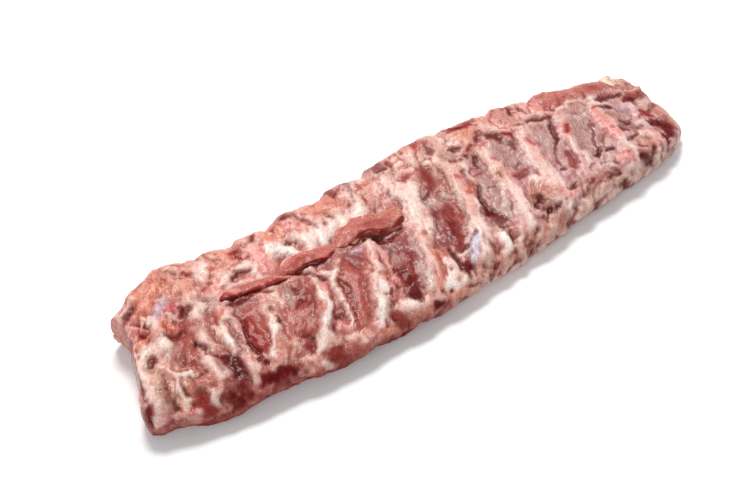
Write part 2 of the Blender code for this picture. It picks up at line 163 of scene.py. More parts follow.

# ---- what lies on the bone side, in millimetres, as if its walls were unrolled flat --------------

# Patches of colour, soft at their edges: (tissue, share, then places with their radii).
WASHES = (
    ("salmon", 0.8, (-213, 33, 6), (-205, 42, 8), (-190, 47, 9)),
    ("salmon", 0.6, (-190, 36, 7), (-176, 37, 6)), ("cream", 0.6, (-219, 3, 7), (-211, -1, 6)),
    ("grey", 0.6, (-214, -9, 6), (-212, -17, 5)), ("flesh", 0.7, (-200, -4, 8), (-203, -22, 7)),
    ("brown", 0.4, (-204, -6, 5), (-206, -20, 5)), ("red", 0.7, (-213, -48, 4), (-210, -66, 6)),
    # The near end's wall faces away from the key light: its lean and maroon are the cut meat, laid darker
    # as painted shade.
    ("lean", 0.8, (-264, -38, 9), (-250, -43, 8)), ("maroon", 0.7, (-247, -38, 3), (-248, -50, 4)),
    ("pink", 0.8, (-195, 24, 5), (-191, 24, 5)), ("flesh", 0.7, (-192, 4, 8), (-184, 2, 7)),
    ("tan", 0.6, (-185, -15, 5), (-182, -22, 4)),
    ("purple", 0.9, (-181, -31, 5), (-180, -38, 6), (-184, -48, 6)),
    ("flesh", 0.6, (-190, -50, 6), (-186, -54, 6)), ("maroon", 0.9, (-196, -58, 6), (-193, -70, 7)),
    ("maroon", 0.85, (-184, -52, 4), (-184, -70, 5)),
    ("maroon", 0.95, (-167, -63, 6), (-154, -66, 8), (-157, -72, 7)),
    ("mauve", 0.6, (-178, -75, 4), (-160, -76, 4), (-145, -75, 4)),
    ("lean", 0.5, (-146, -62, 6), (-143, -70, 6)), ("grey", 0.7, (-177, 14, 7), (-168, 16, 6)),
    ("pink", 0.8, (-166, 27, 5), (-155, 25, 6)), ("salmon", 0.7, (-149, 43, 7), (-138, 43, 7)),
    ("red", 0.55, (-131, 44, 5), (-131, 40, 4)), ("mauve", 0.8, (-150, 0, 9), (-154, -4, 8)),
    ("flesh", 0.9, (-152, -12, 8), (-154, -32, 8)), ("red", 0.5, (-157, -14, 5), (-157, -34, 6)),
    ("flesh", 0.8, (-118, -22, 10), (-126, -40, 9)), ("mauve", 0.5, (-122, -8, 7), (-116, -6, 6)),
    ("lean", 0.9, (-120, -70, 9), (-117, -80, 9)),
    ("flesh", 0.8, (-72, -8, 9), (-78, -28, 10), (-88, -50, 9)),
    ("lean", 0.5, (-86, -22, 5), (-90, -46, 5)), ("pink", 0.6, (-118, 36, 8), (-118, 20, 7)),
    ("cream", 0.8, (-104, 30, 9), (-70, 25, 12), (-45, 28, 10)),
    ("salmon", 0.6, (-104, 45, 7), (-94, 44, 7)), ("mauve", 0.6, (-85, 56, 6), (-80, 50, 4)),
    ("salmon", 0.6, (-64, 48, 8), (-48, 46, 8)), ("mauve", 0.5, (-45, 62, 5), (-43, 52, 5)),
    ("mauve", 0.5, (-29, 60, 4), (-31, 50, 3)), ("mauve", 0.7, (-32, -12, 9), (-34, -28, 8)),
    ("dark", 0.7, (-44, -34, 6), (-45, -54, 7)), ("pink", 0.6, (-56, -40, 5), (-50, -39, 5)),
    ("cream", 0.8, (-56, -62, 8), (-78, -62, 7)), ("lean", 0.7, (-67, -66, 6), (-66, -78, 8)),
    ("lean", 0.8, (-38, -76, 5), (-34, -78, 6)), ("salmon", 0.6, (-22, -76, 6), (-14, -78, 7)),
    ("cream", 0.7, (-18, -62, 7), (-10, -58, 7)), ("salmon", 0.5, (-14, -35, 5), (-26, -58, 4)),
    ("mauve", 0.7, (-1, 66, 8), (0, 57, 8)), ("flesh", 0.5, (38, 66, 7), (38, 58, 6)),
    ("mauve", 0.5, (46, 56, 5), (45, 48, 4)), ("cream", 0.9, (-2, 36, 12), (4, 12, 10), (-2, -8, 8)),
    ("mauve", 0.8, (14, -4, 8), (4, -28, 8)), ("lean", 0.6, (22, -6, 7), (8, -34, 6)),
    ("grey", 0.7, (16, 8, 7), (30, 5, 7)), ("blue", 0.5, (21, -38, 5), (12, -48, 5)),
    ("cream", 0.8, (36, -16, 8), (34, -52, 9)), ("tan", 0.6, (10, -72, 8), (50, -70, 9)),
    ("pink", 0.6, (46, 19, 6), (48, 16, 6)), ("grey", 0.8, (62, -4, 9), (56, -32, 9)),
    ("dark", 0.7, (42, -23, 6), (48, -25, 6)), ("brown", 0.6, (44, -33, 6), (49, -32, 6)),
    ("red", 0.6, (74, 61, 7), (87, 59, 7)), ("salmon", 0.7, (77, 50, 7), (84, 48, 7)),
    ("mauve", 0.5, (88, 46, 4), (85, 41, 4)), ("pink", 0.6, (80, 20, 6), (83, 14, 6)),
    ("grey", 0.7, (92, 16, 9), (93, 4, 7)), ("brown", 0.6, (94, 37, 6), (99, 33, 6)),
    ("tan", 0.8, (88, -26, 9), (96, -32, 8)), ("brown", 0.6, (84, -36, 6), (88, -47, 7)),
    ("tan", 0.6, (91, -58, 7), (88, -66, 7)), ("pink", 0.6, (117, 18, 6), (117, 12, 6)),
    ("grey", 0.7, (130, 18, 8), (126, 2, 7)), ("tan", 0.6, (116, 56, 7), (117, 46, 7)),
    ("mauve", 0.5, (126, 56, 5), (124, 48, 4)), ("pink", 0.7, (153, 15, 7), (147, 8, 6)),
    ("grey", 0.7, (162, 14, 8), (154, -6, 8)),
    ("flesh", 0.8, (160, 46, 10), (200, 44, 11), (222, 58, 10)),
    ("tan", 0.5, (118, -40, 8), (150, -46, 9)), ("fat", 0.6, (120, -58, 8), (165, -56, 8)),
    ("pink", 0.7, (184, 8, 7), (182, -10, 6)), ("grey", 0.6, (194, 8, 7), (204, 4, 7)),
    ("brown", 0.5, (194, -4, 5), (198, -8, 5)), ("lean", 0.6, (225, 18, 7), (250, 22, 7)),
    ("maroon", 0.9, (222, -18, 8), (226, -28, 8)), ("lean", 0.7, (236, -14, 7), (234, -24, 6)),
    ("tan", 0.6, (198, -32, 7), (190, -36, 7)), ("brown", 0.7, (184, -46, 7), (187, -54, 6)),
    ("pink", 0.6, (166, -35, 6), (172, -37, 6)), ("flesh", 0.5, (222, 0, 7), (240, 0, 7)),
    ("beige", 0.8, (-232, -16, 12), (-222, -40, 12)), ("tan", 0.8, (-216, -26, 10), (-208, -44, 10)),
    ("brown", 0.35, (-238, -20, 8), (-234, -44, 8)),
)
# Folds, muscles, strands and pits: (tissue, rise, then places with their radii).
MARKS = (
    # Near end.
    # Lean on the near end's wall: the cut meat, laid darker as painted shade.
    ("lean", 0, (-256, -38, 5), (-248, -42, 5)),
    ("cream", 1.0, (-231, 3, 3), (-222, 4, 4.5), (-211, 2, 4)),
    ("cream", 1.0, (-232, -2, 3), (-236, -13, 3.2), (-238, -28, 2.8), (-240, -42, 3), (-244, -54, 3.5)),
    ("fat", 0.4, (-233, -18, 3.5), (-233, -22, 3.5)), ("tan", -0.5, (-233, -29, 2.2), (-235, -33, 2)),
    ("mauve", -0.4, (-224, -21, 1.2), (-229, -32, 2.2), (-232, -40, 2)),
    ("brown", -1.8, (-227, -9, 1.8), (-223, -5, 2.2)),
    ("ivory", 0.5, (-223, -12, 0.8), (-222, -15, 0.8)),
    ("ivory", 1.4, (-219, -18, 1), (-217, -27, 1.7), (-221, -36, 1.4), (-220, -46, 1.6)),
    ("ivory", 1.2, (-215, -26, 1.8), (-209, -28, 2.3)),
    ("pit", -1.3, (-210, -35, 1.2), (-200, -33, 0.9)),
    ("dark", -1.2, (-217, -33, 0.9), (-218, -43, 1.3)),
    ("flesh", 1.3, (-208, -39, 4.5), (-203, -42, 4.5)), ("fat", 0.6, (-226, -43, 2), (-223, -53, 3)),
    ("brown", -0.9, (-229, -41, 1), (-230, -52, 1.2)),
    ("cream", 1.2, (-205, -48, 2.2), (-203, -52, 2), (-206, -57, 2.3), (-204, -63, 2)),
    ("red", 0.2, (-213, -50, 3), (-210, -66, 4.5)),
    ("pink", 0.9, (-245, -53, 2.5), (-236, -57, 2), (-227, -57, 2.2), (-218, -61, 2.5)),
    ("crimson", -0.3, (-237, -57, 1.5), (-235, -59, 1.5)),
    ("pink", 2.0, (-229, 19, 3), (-225, 24, 3.8), (-220, 21, 3.2)),
    ("fat", 1.8, (-214, 25, 2.6), (-211, 22, 3)), ("orange", -0.3, (-224, 16, 2.5), (-220, 17, 2.5)),
    ("crimson", -2.0, (-220, 15, 1.5), (-217, 14, 1.2)),
    ("salmon", 1.0, (-229, 10, 2), (-218, 11, 2), (-207, 15, 2.2), (-202, 19, 2)),
    ("salmon", 0.7, (-225, 6, 1.4), (-208, 9, 1.6)), ("orange", 0.6, (-203, 13, 4), (-200, 8, 3.5)),
    ("brown", -1.1, (-208, 6, 1.2), (-200, 3, 1.4), (-196, 4, 1.2)),
    ("mauve", -0.8, (-226, 31, 2), (-220, 35, 3.2), (-214, 38, 3.4)),
    ("brown", -0.6, (-222, 33, 1.6), (-215, 37, 2)),
    ("cream", 0.9, (-229, 33, 1), (-222, 40, 1.2), (-211, 46, 1.6)),
    ("lavender", 0.5, (-206, 22, 2.6), (-200, 28, 4.2), (-196, 33, 3.4)),
    ("salmon", 1.0, (-208, 33, 4), (-203, 41, 4.5), (-195, 46, 4)),
    ("brown", -0.7, (-203, -10, 0.8), (-209, -20, 0.9)),
    ("flesh", 0.9, (-201, -10, 2.6), (-203, -20, 3)),
    # Second and third ribs.
    ("magenta", 0.2, (-195, 24, 2.4), (-191, 25, 2)), ("maroon", -2.8, (-190, 17, 1.8), (-186, 21, 2)),
    ("brown", -0.8, (-186, 16, 3.4), (-183, 19, 3)), ("cream", 1.0, (-197, 21, 2), (-194, 15, 1.6)),
    ("cream", 0.9, (-180, 13, 4), (-175, 15, 4)), ("pit", -0.8, (-171, 19, 0.9), (-171, 18, 0.9)),
    ("tan", 0.4, (-176, 4, 1.6), (-174, 2, 1.4)), ("orange", 0.3, (-171, 2, 2.2), (-166, 4, 2)),
    ("cream", 0.8, (-166, -3, 1.3), (-159, 2, 1.3)),
    ("dark", -1.8, (-194, -10, 2), (-191, -17, 2.6), (-193, -22, 1.6)),
    ("maroon", -1.6, (-190, -23, 1.3), (-186, -28, 1.8), (-184, -32, 1.6)),
    ("fat", 0.6, (-187, -15, 2), (-183, -19, 2.4)),
    ("purple", -1.6, (-180, -32, 3), (-180, -38, 4), (-184, -47, 4)),
    ("cream", 0.9, (-195, -28, 3), (-192, -40, 3.2)), ("grey", 0.4, (-190, -32, 2.4), (-188, -42, 2.6)),
    ("brown", -1.0, (-178, -48, 2.4), (-178, -58, 2.6)),
    ("fat", 0.6, (-173, -44, 2.6), (-169, -48, 2.4)), ("fat", 0.3, (-173, -50, 2.2), (-175, -60, 2.4)),
    ("mauve", 0.2, (-193, -49, 3), (-188, -52, 3)),
    ("cream", 1.2, (-177, -4, 2), (-173, -14, 3.6), (-175, -27, 3), (-178, -31, 2)),
    # A painted highlight along the third rib's ridge.
    ("ivory", 0.8, (-173, -17, 1.4), (-175, -27, 1.8)),
    ("mauve", -0.2, (-167, -7, 2.6), (-169, -20, 3), (-172, -32, 2.4)),
    ("cream", 0.7, (-169, -33, 0.8), (-171, -41, 0.8)), ("cream", 0.9, (-157, 46, 4), (-163, 36, 4)),
    ("flesh", -0.5, (-171, 46, 2.4), (-167, 42, 2)), ("brown", -0.8, (-181, 52, 1.6), (-178, 50, 1.4)),
    ("brown", -0.5, (-184, 32, 0.8), (-180, 31, 0.8)),
    ("mauve", -1.4, (-155, 66, 1.6), (-156, 54, 1.2)), ("red", -0.4, (-168, 27, 0.9), (-160, 30, 1.0)),
    ("cream", 1.4, (-156, 23, 2), (-149, 27, 2.4), (-139, 31, 2.4), (-130, 30, 2.6), (-127, 26, 2),
     (-130, 21, 1.6)),
    ("brown", -1.3, (-145, 25, 1.3), (-139, 26, 1.6), (-132, 25, 1)),
    ("pit", -1.0, (-142, 29, 0.9), (-140, 30, 0.9)), ("cream", 0.8, (-150, 20, 1.6), (-138, 19, 1.8)),
    ("red", -0.3, (-132, 45, 2.4), (-130, 40, 2.6)),
    # Between the third and fourth ribs, fourth rib.
    ("flesh", -0.3, (-152, -8, 6), (-152, -26, 6), (-155, -36, 4)),
    ("red", 0.3, (-155, -12, 3), (-158, -22, 3.4), (-158, -34, 3.6)),
    ("dark", -1.4, (-158, -9, 1.2), (-162, -20, 1.8), (-165, -30, 2.2), (-163, -37, 2)),
    ("maroon", -1.2, (-164, -43, 2.2), (-162, -49, 2)),
    ("maroon", -0.6, (-167, -59, 3.6), (-165, -66, 4)),
    ("maroon", -0.6, (-158, -60, 4), (-153, -63, 4.4)),
    ("ivory", 1.5, (-140, -17, 1.3), (-144, -27, 2), (-150, -37, 1.7), (-156, -46, 1.8)),
    ("brown", -1.0, (-136, -10, 1.3), (-136, -13, 1.2)),
    ("brown", -1.2, (-138, -19, 1.4), (-138, -23, 1.6)),
    ("pink", 0.8, (-134, -27, 0.6), (-138, -38, 0.6)), ("fat", 0.9, (-129, -2, 3), (-127, -12, 4)),
    ("brown", -0.7, (-122, -5, 1.2), (-122, -7, 1.2)), ("tan", 0.3, (-147, -38, 2.6), (-141, -44, 3)),
    # Between the fourth and fifth ribs, fifth rib.
    ("grey", -0.6, (-117, -2, 2), (-119, -8, 4), (-123, -15, 2.6)),
    ("brown", -0.5, (-113, -4, 2), (-115, -10, 2.4)), ("flesh", 0, (-104, -4, 4), (-104, -14, 3.6)),
    ("lean", -0.5, (-110, -10, 4), (-113, -24, 5)),
    ("dark", -1.0, (-121, -20, 1), (-116, -17, 1.4), (-114, -19, 1)),
    ("flesh", -0.2, (-118, -26, 5), (-124, -38, 6)), ("orange", 0.3, (-107, -27, 2), (-108, -33, 2.6)),
    ("brown", -1.0, (-131, -44, 2.2), (-127, -49, 2)), ("lean", -0.6, (-133, -50, 3), (-131, -56, 3)),
    ("ivory", 1.4, (-101, -15, 1.6), (-104, -25, 2.4), (-103, -33, 2.2), (-109, -40, 2.2),
     (-114, -44, 1.8)),
    ("cream", 1.0, (-117, -48, 2), (-122, -55, 3), (-127, -59, 2.6)),
    ("pink", 0.6, (-99, -8, 2.4), (-97, -17, 2)), ("brown", -0.7, (-104, -42, 1.8), (-100, -44, 1.6)),
    ("red", 0.1, (-95, -36, 1.8), (-96, -43, 2.2)),
    ("cream", 1.0, (-90, -20, 1.6), (-91, -32, 1.8), (-95, -45, 1.8), (-99, -53, 1.4)),
    ("ivory", 0.7, (-92, -37, 0.7), (-97, -50, 0.8)), ("dark", -1.2, (-90, -42, 0.9), (-96, -53, 1)),
    ("pink", 0.5, (-105, -48, 3), (-100, -55, 3)),
    ("cream", 1.1, (-90, -3, 2.2), (-85, -9, 3), (-88, -18, 2)),
    ("cream", 0.9, (-74, -1, 1.6), (-82, -8, 1.8)),
    ("brown", -1.3, (-70, -1, 0.9), (-76, -7, 1.2), (-80, -12, 1)),
    ("lavender", 0.5, (-90, 3, 1.6), (-86, 1, 1.6)), ("pit", -0.6, (-90, 1, 0.7), (-88, 3, 0.6)),
    # Big smooth muscle, chine fat.
    ("flesh", 0.6, (-74, -8, 5), (-75, -25, 8), (-84, -42, 8), (-91, -55, 5)),
    ("lean", -0.5, (-84, -16, 2.4), (-85, -30, 2.8), (-90, -44, 2.6)),
    ("mauve", 0, (-66, -3, 4), (-62, -11, 4.4)), ("flesh", 0.2, (-60, -14, 3.4), (-60, -22, 3)),
    ("tan", 0, (-92, -58, 4), (-88, -66, 4)),
    ("ivory", 1.0, (-108, 32, 5), (-101, 26, 5.5), (-95, 21, 3)),
    ("mauve", -1.6, (-98, 31, 1.4), (-94, 31, 2)), ("pit", -1.0, (-92, 29, 0.7), (-90, 30, 0.7)),
    ("tan", -0.3, (-90, 24, 2), (-87, 26, 1.6)), ("cream", 1.0, (-83, 28, 6), (-75, 25, 6)),
    ("salmon", 0.4, (-104, 44, 4), (-100, 38, 3)), ("cream", 0.6, (-102, 46, 1.6), (-100, 46, 1.6)),
    ("salmon", 0.5, (-94, 46, 3.4), (-96, 40, 2.6)), ("mauve", -1.0, (-85, 55, 3), (-82, 52, 2.4)),
    ("mauve", -1.5, (-76, 52, 1.2), (-77, 45, 1.4), (-72, 37, 1.2), (-70, 31, 0.8)),
    ("mauve", -1.2, (-116, 46, 1.4), (-113, 56, 1.6)), ("pink", 0.4, (-86, 41, 3), (-80, 36, 3)),
    ("pink", 0.4, (-120, 40, 4), (-118, 22, 4)), ("cream", 1.0, (-131, 19, 1.4), (-126, 13, 1.4)),
    ("lean", 0.8, (-120, -70, 6), (-119, -77, 6.5)), ("flesh", 0.6, (-108, -70, 4), (-106, -78, 4)),
    ("cream", 0.8, (-130, -74, 2.4), (-128, -82, 2.4)),
    ("cream", 0.7, (-99, -62, 1.4), (-97, -76, 1.6)), ("pink", 0.5, (-95, -62, 2), (-92, -72, 2)),
    ("salmon", 0.6, (-81, -74, 3.4), (-75, -80, 4)), ("dark", -0.8, (-71, -63, 1.8), (-71, -67, 2.2)),
    # Sixth rib and after.
    ("cream", 1.2, (-53, -19, 2.4), (-57, -28, 3), (-62, -39, 3.6), (-68, -47, 3), (-76, -56, 3.4),
     (-82, -67, 4)),
    # Painted highlights along the sixth rib.
    ("ivory", 0.7, (-62, -37, 2.4), (-63, -43, 2)),
    ("ivory", 0.8, (-72, -50, 2), (-79, -61, 2.4), (-82, -67, 2.6)),
    ("tan", -0.5, (-56, -29, 2.6), (-51, -30, 2.6)), ("pink", 0.8, (-56, -40, 3), (-50, -38, 2.4)),
    ("crimson", -0.3, (-54, -39, 1.4), (-53, -43, 1.4)),
    ("pink", 0.9, (-44, -4, 1.6), (-44, -12, 2.2), (-47, -23, 1.6)),
    ("mauve", -0.9, (-47, -10, 1), (-50, -19, 1.2)), ("lavender", 0.6, (-61, 1, 2.6), (-55, -2, 2.8)),
    ("cream", 0.9, (-58, -58, 4), (-52, -66, 4.5)), ("grey", -0.5, (-37, -13, 2.4), (-41, -23, 3.6)),
    ("brown", -0.8, (-37, -12, 0.9), (-45, -23, 0.9)), ("mauve", -0.6, (-29, -9, 5), (-27, -20, 5)),
    ("lean", -0.5, (-31, -24, 3.4), (-36, -40, 3.6)), ("dark", -1.5, (-45, -32, 2.6), (-44, -40, 4)),
    ("dark", -1.3, (-41, -44, 4), (-45, -54, 4.4)), ("brown", -1.2, (-48, -54, 2), (-45, -63, 2.6)),
    ("grey", 0.3, (-18, -14, 3), (-27, -34, 3.4), (-34, -52, 3)),
    ("ivory", 0.7, (-27, -42, 0.9), (-36, -58, 1.1)),
    ("salmon", 1.0, (-13, -32, 2.4), (-17, -43, 2.4), (-25, -55, 2.2), (-30, -62, 2.4)),
    ("orange", 0.2, (-14, -35, 1.8), (-15, -40, 1.6)), ("cream", 0.8, (-20, -38, 1.6), (-23, -46, 1.6)),
    ("ivory", 0.9, (-14, -54, 2.6), (-22, -64, 4), (-12, -68, 3.6)),
    ("pit", -0.9, (-12, -63, 1.1), (-12, -65, 1.1)),
    # Painted shadow in the gaps under the strips: dark maroon hollows below their edges.
    ("maroon", -1.6, (-50, 4, 1.8), (-44, 1, 2.2), (-38, -2, 2.2), (-31, -4, 2), (-22, -2, 1.4),
     (-17, 1, 1)),
    ("maroon", -1.2, (-60, 4, 0.8), (-50, 4, 1)),
    ("maroon", -1.4, (-109, 7, 1.2), (-104, 4, 1.8), (-98, 0, 1.5), (-94, -4, 1.6), (-92, -10, 1.2)),
    ("maroon", -1.4, (-160, 7, 1.6), (-150, 6, 1.6), (-135, 5, 1.4), (-128, 1, 1.2)),
    ("salmon", 0.5, (-62, 47, 6), (-50, 45, 5.5)), ("orange", 0.1, (-50, 45, 1.8), (-48, 42, 1.6)),
    ("brown", -0.8, (-58, 38, 0.9), (-55, 33, 1.1)), ("brown", -0.6, (-64, 32, 0.8), (-62, 32, 0.8)),
    ("mauve", -1.0, (-45, 62, 2), (-43, 50, 2.4)), ("mauve", -1.2, (-28, 60, 1.6), (-30, 50, 1.4)),
    ("mauve", -1.0, (-31, 46, 1), (-32, 38, 1.1)), ("flesh", -0.6, (-25, 37, 1.7), (-26, 31, 1.7)),
    ("cream", 0.9, (-56, 28, 6), (-38, 27, 6)), ("ivory", 0.9, (-72, 20, 4), (-65, 26, 5)),
    ("tan", -0.4, (-17, 50, 2.6), (-13, 51, 2.4)),
    ("lean", 0.4, (-68, -62, 3.6), (-65, -72, 5), (-66, -78, 5)),
    ("dark", -0.4, (-37, -73, 2.4), (-35, -79, 4)), ("salmon", 0.6, (-22, -75, 3.4), (-15, -78, 3.6)),
    ("tan", 0.3, (-56, -76, 4), (-46, -76, 4)),
    # Seventh rib, muscles between seventh and eighth.
    ("mauve", -0.6, (-1, 66, 5), (0, 57, 5.5)), ("brown", -0.9, (-3, 52, 1), (4, 54, 1.1)),
    ("mauve", -1.4, (11, 66, 1.2), (10, 57, 1.4), (8, 45, 1.2)),
    ("flesh", -0.4, (8, 38, 2.8), (15, 37, 2.8)), ("flesh", -0.6, (38, 68, 3.4), (38, 58, 3.4)),
    ("grey", -0.6, (-14, 38, 1.2), (-9, 37, 1.2)), ("brown", -0.8, (-7, 31, 0.8), (-5, 33, 0.7)),
    ("taupe", -0.5, (-7, 28, 2.2), (-5, 22, 2.6), (-8, 15, 1.8)),
    ("cream", 1.2, (1, 30, 6), (3, 12, 6), (0, -4, 5), (-3, -14, 3)),
    ("cream", 0.9, (12, 30, 4), (8, 20, 4)), ("lean", -1.0, (29, 35, 6), (27, 28, 6.5), (23, 20, 3.4)),
    ("brown", -0.8, (30, 40, 1.2), (34, 38, 1)), ("brown", -0.9, (14, 14, 1), (19, 16, 1.2)),
    ("brown", -0.8, (25, 13, 1), (28, 15, 1)), ("grey", 0.2, (16, 10, 2.4), (19, 4, 2.6)),
    ("pit", -0.6, (12, 17, 0.8), (12, 15, 0.8)), ("pit", -0.6, (9, 12, 0.8), (9, 10, 0.8)),
    ("grey", 0.2, (28, 9, 3), (34, 2, 3)), ("pit", -1.7, (13, 0, 1.4), (10, -6, 1.9)),
    ("pit", -1.1, (5, -12, 0.9), (2, -20, 1)),
    ("mauve", -0.5, (14, -3, 3.4), (7, -14, 3.8), (1, -28, 3.4)),
    ("lean", -0.2, (22, -2, 3.6), (15, -15, 4), (8, -32, 4.2), (4, -38, 3)),
    ("dark", -0.3, (14, -14, 1.8), (9, -27, 2)), ("flesh", -0.2, (29, -4, 3), (22, -18, 3)),
    ("grey", 0.3, (35, -2, 3), (28, -20, 3)), ("ivory", 0.7, (26, -24, 1.4), (14, -38, 1.6)),
    ("pit", -1.2, (23, -33, 1.2), (15, -39, 1.1), (4, -42, 1.1)),
    ("ivory", 0.8, (13, -43, 1.1), (3, -44, 1.1)),
    ("blue", 0.5, (21, -38, 3), (13, -46, 3.4), (7, -53, 2.6)),
    ("maroon", -2.2, (-3, -36, 1.6), (-3, -48, 1.8), (-2, -58, 2.4), (-4, -69, 1.4)),
    ("dark", -0.8, (3, -49, 1.8), (0, -58, 2.4)), ("cream", 0.9, (-8, -44, 2.8), (-10, -57, 3)),
    ("fat", 0.8, (-7, -18, 2), (-13, -28, 2)), ("brown", -0.6, (-3, -13, 1), (-1, -16, 0.9)),
    ("lean", -0.2, (27, -47, 1.6), (27, -53, 1.6)), ("cream", 1.0, (36, -18, 4.5), (30, -34, 4.5)),
    ("ivory", 1.0, (38, -48, 3.6), (37, -58, 4)), ("tan", -0.3, (20, -66, 1.8), (18, -74, 1.8)),
    # Eighth to tenth ribs.
    ("fat", 1.3, (46, 30, 4.6), (44, 12, 5), (40, -4, 4), (36, -18, 4)),
    ("magenta", 0.1, (46, 18, 2.4), (48, 16, 2.2)), ("orange", 0.5, (44, 0, 3), (50, 5, 2.6)),
    ("grey", 0.2, (51, 38, 3.6), (55, 37, 3.2)), ("lean", -0.3, (52, 32, 2), (60, 30, 1.8)),
    ("brown", -0.7, (53, 20, 1.3), (52, 17, 1.2)), ("brown", -0.9, (60, 41, 2.4), (65, 41, 2.2)),
    ("lean", -0.5, (70, 35, 2.6), (76, 37, 2.4)), ("brown", -1.2, (66, 33, 1.4), (65, 30, 1.2)),
    ("brown", -1.0, (71, 27, 2.2), (66, 21, 2)),
    ("pit", -0.9, (59, 17, 0.8), (61, 20, 0.8), (65, 18, 0.9), (69, 19, 0.8)),
    ("pit", -0.9, (59, 13, 0.8), (65, 12, 0.8)), ("mauve", -0.8, (46, 57, 2), (44, 47, 2)),
    ("pit", -1.5, (54, 1, 1), (51, -5, 1.8), (48, -10, 1.4)),
    ("dark", -1.0, (48, -13, 2), (44, -20, 2.4)), ("maroon", -1.6, (41, -23, 3), (48, -25, 3)),
    ("brown", -1.2, (44, -32, 3.8), (49, -31, 3.4)), ("pit", -0.8, (41, -38, 0.9), (48, -40, 0.9)),
    ("grey", 0, (62, 0, 5), (56, -14, 6), (58, -30, 6)), ("pit", -0.6, (60, -3, 0.9), (64, -5, 1)),
    ("ivory", 0.6, (68, -8, 0.8), (58, -24, 1)), ("ivory", 0.6, (66, -24, 0.8), (59, -36, 1)),
    ("brown", -0.5, (66, -20, 0.6), (59, -31, 0.7)),
    ("cream", 1.0, (73, -8, 3.6), (74, -20, 4), (68, -34, 4.4), (62, -48, 4.4)),
    ("fat", 1.2, (80, 26, 4), (77, 8, 4), (73, -6, 4)),
    ("red", -0.3, (73, 62, 3.6), (80, 58, 3.8), (88, 58, 3)),
    ("dark", -0.4, (76, 58, 1.6), (81, 57, 1.6)), ("salmon", 0.5, (77, 50, 4), (83, 48, 4)),
    ("mauve", -0.7, (88, 46, 2.6), (84, 40, 2.4)), ("brown", -1.0, (92, 53, 1.2), (90, 56, 1.2)),
    ("brown", -1.0, (93, 38, 3.2), (98, 34, 3.4)), ("pit", -0.8, (99, 32, 1.8), (98, 28, 1.4)),
    ("red", -0.3, (106, 34, 2.4), (110, 31, 2.4)), ("mauve", -0.9, (104, 24, 2), (102, 18, 2.4)),
    ("pit", -0.6, (101, 25, 0.7), (108, 27, 0.7)), ("magenta", 0.1, (81, 17, 2.4), (83, 15, 2.2)),
    ("salmon", 0.5, (77, 6, 2.2), (81, 4, 2.2)), ("brown", -0.6, (75, 3, 1.4), (75, 1, 1.4)),
    ("grey", -0.4, (89, 26, 4.6), (90, 8, 5)), ("brown", -0.5, (97, 4, 1.4), (94, 3, 1)),
    ("lean", 0.6, (83, -5, 2.2), (90, -5, 3.4), (97, -4, 2.2)),
    ("dark", -0.7, (84, -9, 0.7), (93, -9, 0.7)),
    ("tan", -0.4, (84, -23, 4), (91, -30, 6), (97, -30, 4)),
    ("brown", -1.0, (84, -31, 2.4), (88, -31, 2.4)), ("pit", -2.4, (79, -37, 1.8), (86, -34, 2)),
    ("pit", -2.2, (78, -51, 1.3), (85, -45, 1.9)), ("brown", -0.7, (90, -47, 3), (94, -46, 2.4)),
    ("tan", 0.3, (91, -57, 3.6), (88, -66, 3.6)), ("pit", -0.7, (65, -55, 0.9), (65, -57, 0.8)),
    ("orange", 0.3, (72, -62, 1.4), (74, -63, 1.4)), ("lean", 0.2, (56, -64, 1.6), (57, -69, 1.6)),
    ("brown", -0.8, (47, -45, 1.2), (45, -50, 1.2)), ("brown", -0.6, (103, -56, 0.9), (106, -59, 0.9)),
    ("cream", 1.0, (97, -16, 4), (103, -22, 5), (108, -32, 4)),
    ("pink", 0.5, (105, -37, 3.4), (108, -46, 3.4)),
    # Tenth and eleventh ribs.
    ("fat", 1.2, (116, 26, 4.4), (110, 4, 4.6), (104, -18, 4.4)),
    ("magenta", 0.1, (117, 19, 2), (117, 12, 2.4)), ("tan", 0.4, (114, 56, 3), (116, 46, 3.2)),
    ("brown", -0.9, (126, 56, 1.8), (123, 47, 1.6)), ("mauve", -0.8, (134, 54, 1.6), (133, 47, 1.8)),
    ("brown", -0.8, (116, 38, 0.9), (126, 34, 1)),
    ("fat", 1.2, (128, 40, 2), (138, 38, 2), (150, 33, 2)),
    ("brown", -1.5, (131, 35, 1.8), (140, 31, 2.2), (149, 29, 1.8)),
    ("mauve", -1.0, (146, 26, 3), (143, 18, 3), (138, 10, 2.4)),
    ("brown", -1.2, (143, 22, 1.4), (139, 12, 1.4), (134, 6, 1.4)),
    ("pit", -1.4, (138, 8, 1), (131, 3, 1), (126, -3, 1.2), (123, -10, 1.3), (121, -18, 1.2)),
    ("pit", -1.6, (117, -19, 1.2), (123, -19, 1.5)), ("grey", -0.4, (130, 25, 4.4), (130, 10, 4.6)),
    ("grey", 0.4, (136, 2, 2.4), (129, -6, 2.6)),
    ("lean", -0.4, (136, -8, 3.2), (132, -18, 3.8), (128, -21, 2.6)),
    ("fat", 1.0, (143, 4, 2), (141, -14, 2.4)), ("pink", 0.5, (150, 18, 2), (144, 2, 1.4)),
    ("crimson", 0.1, (154, 16, 1.8), (151, 11, 2.4), (147, 9, 1.8)),
    ("brown", -0.8, (150, 38, 0.8), (158, 33, 0.9)),
    ("grey", -0.5, (163, 18, 4.4), (156, 2, 5), (150, -12, 4)),
    ("brown", -0.9, (170, 6, 1.2), (168, 3, 1.4)), ("pit", -1.3, (174, 10, 0.9), (172, 4, 1.1)),
    ("pit", -1.3, (168, -1, 1.2), (161, -8, 1.2), (158, -15, 1.1)),
    ("pit", -0.8, (173, -7, 0.7), (165, -15, 0.8)), ("maroon", -1.6, (159, -18, 2.4), (153, -22, 2.2)),
    ("maroon", -1.3, (163, -22, 1.8), (167, -22, 1.8)), ("brown", -0.9, (136, -32, 1), (142, -29, 1.1)),
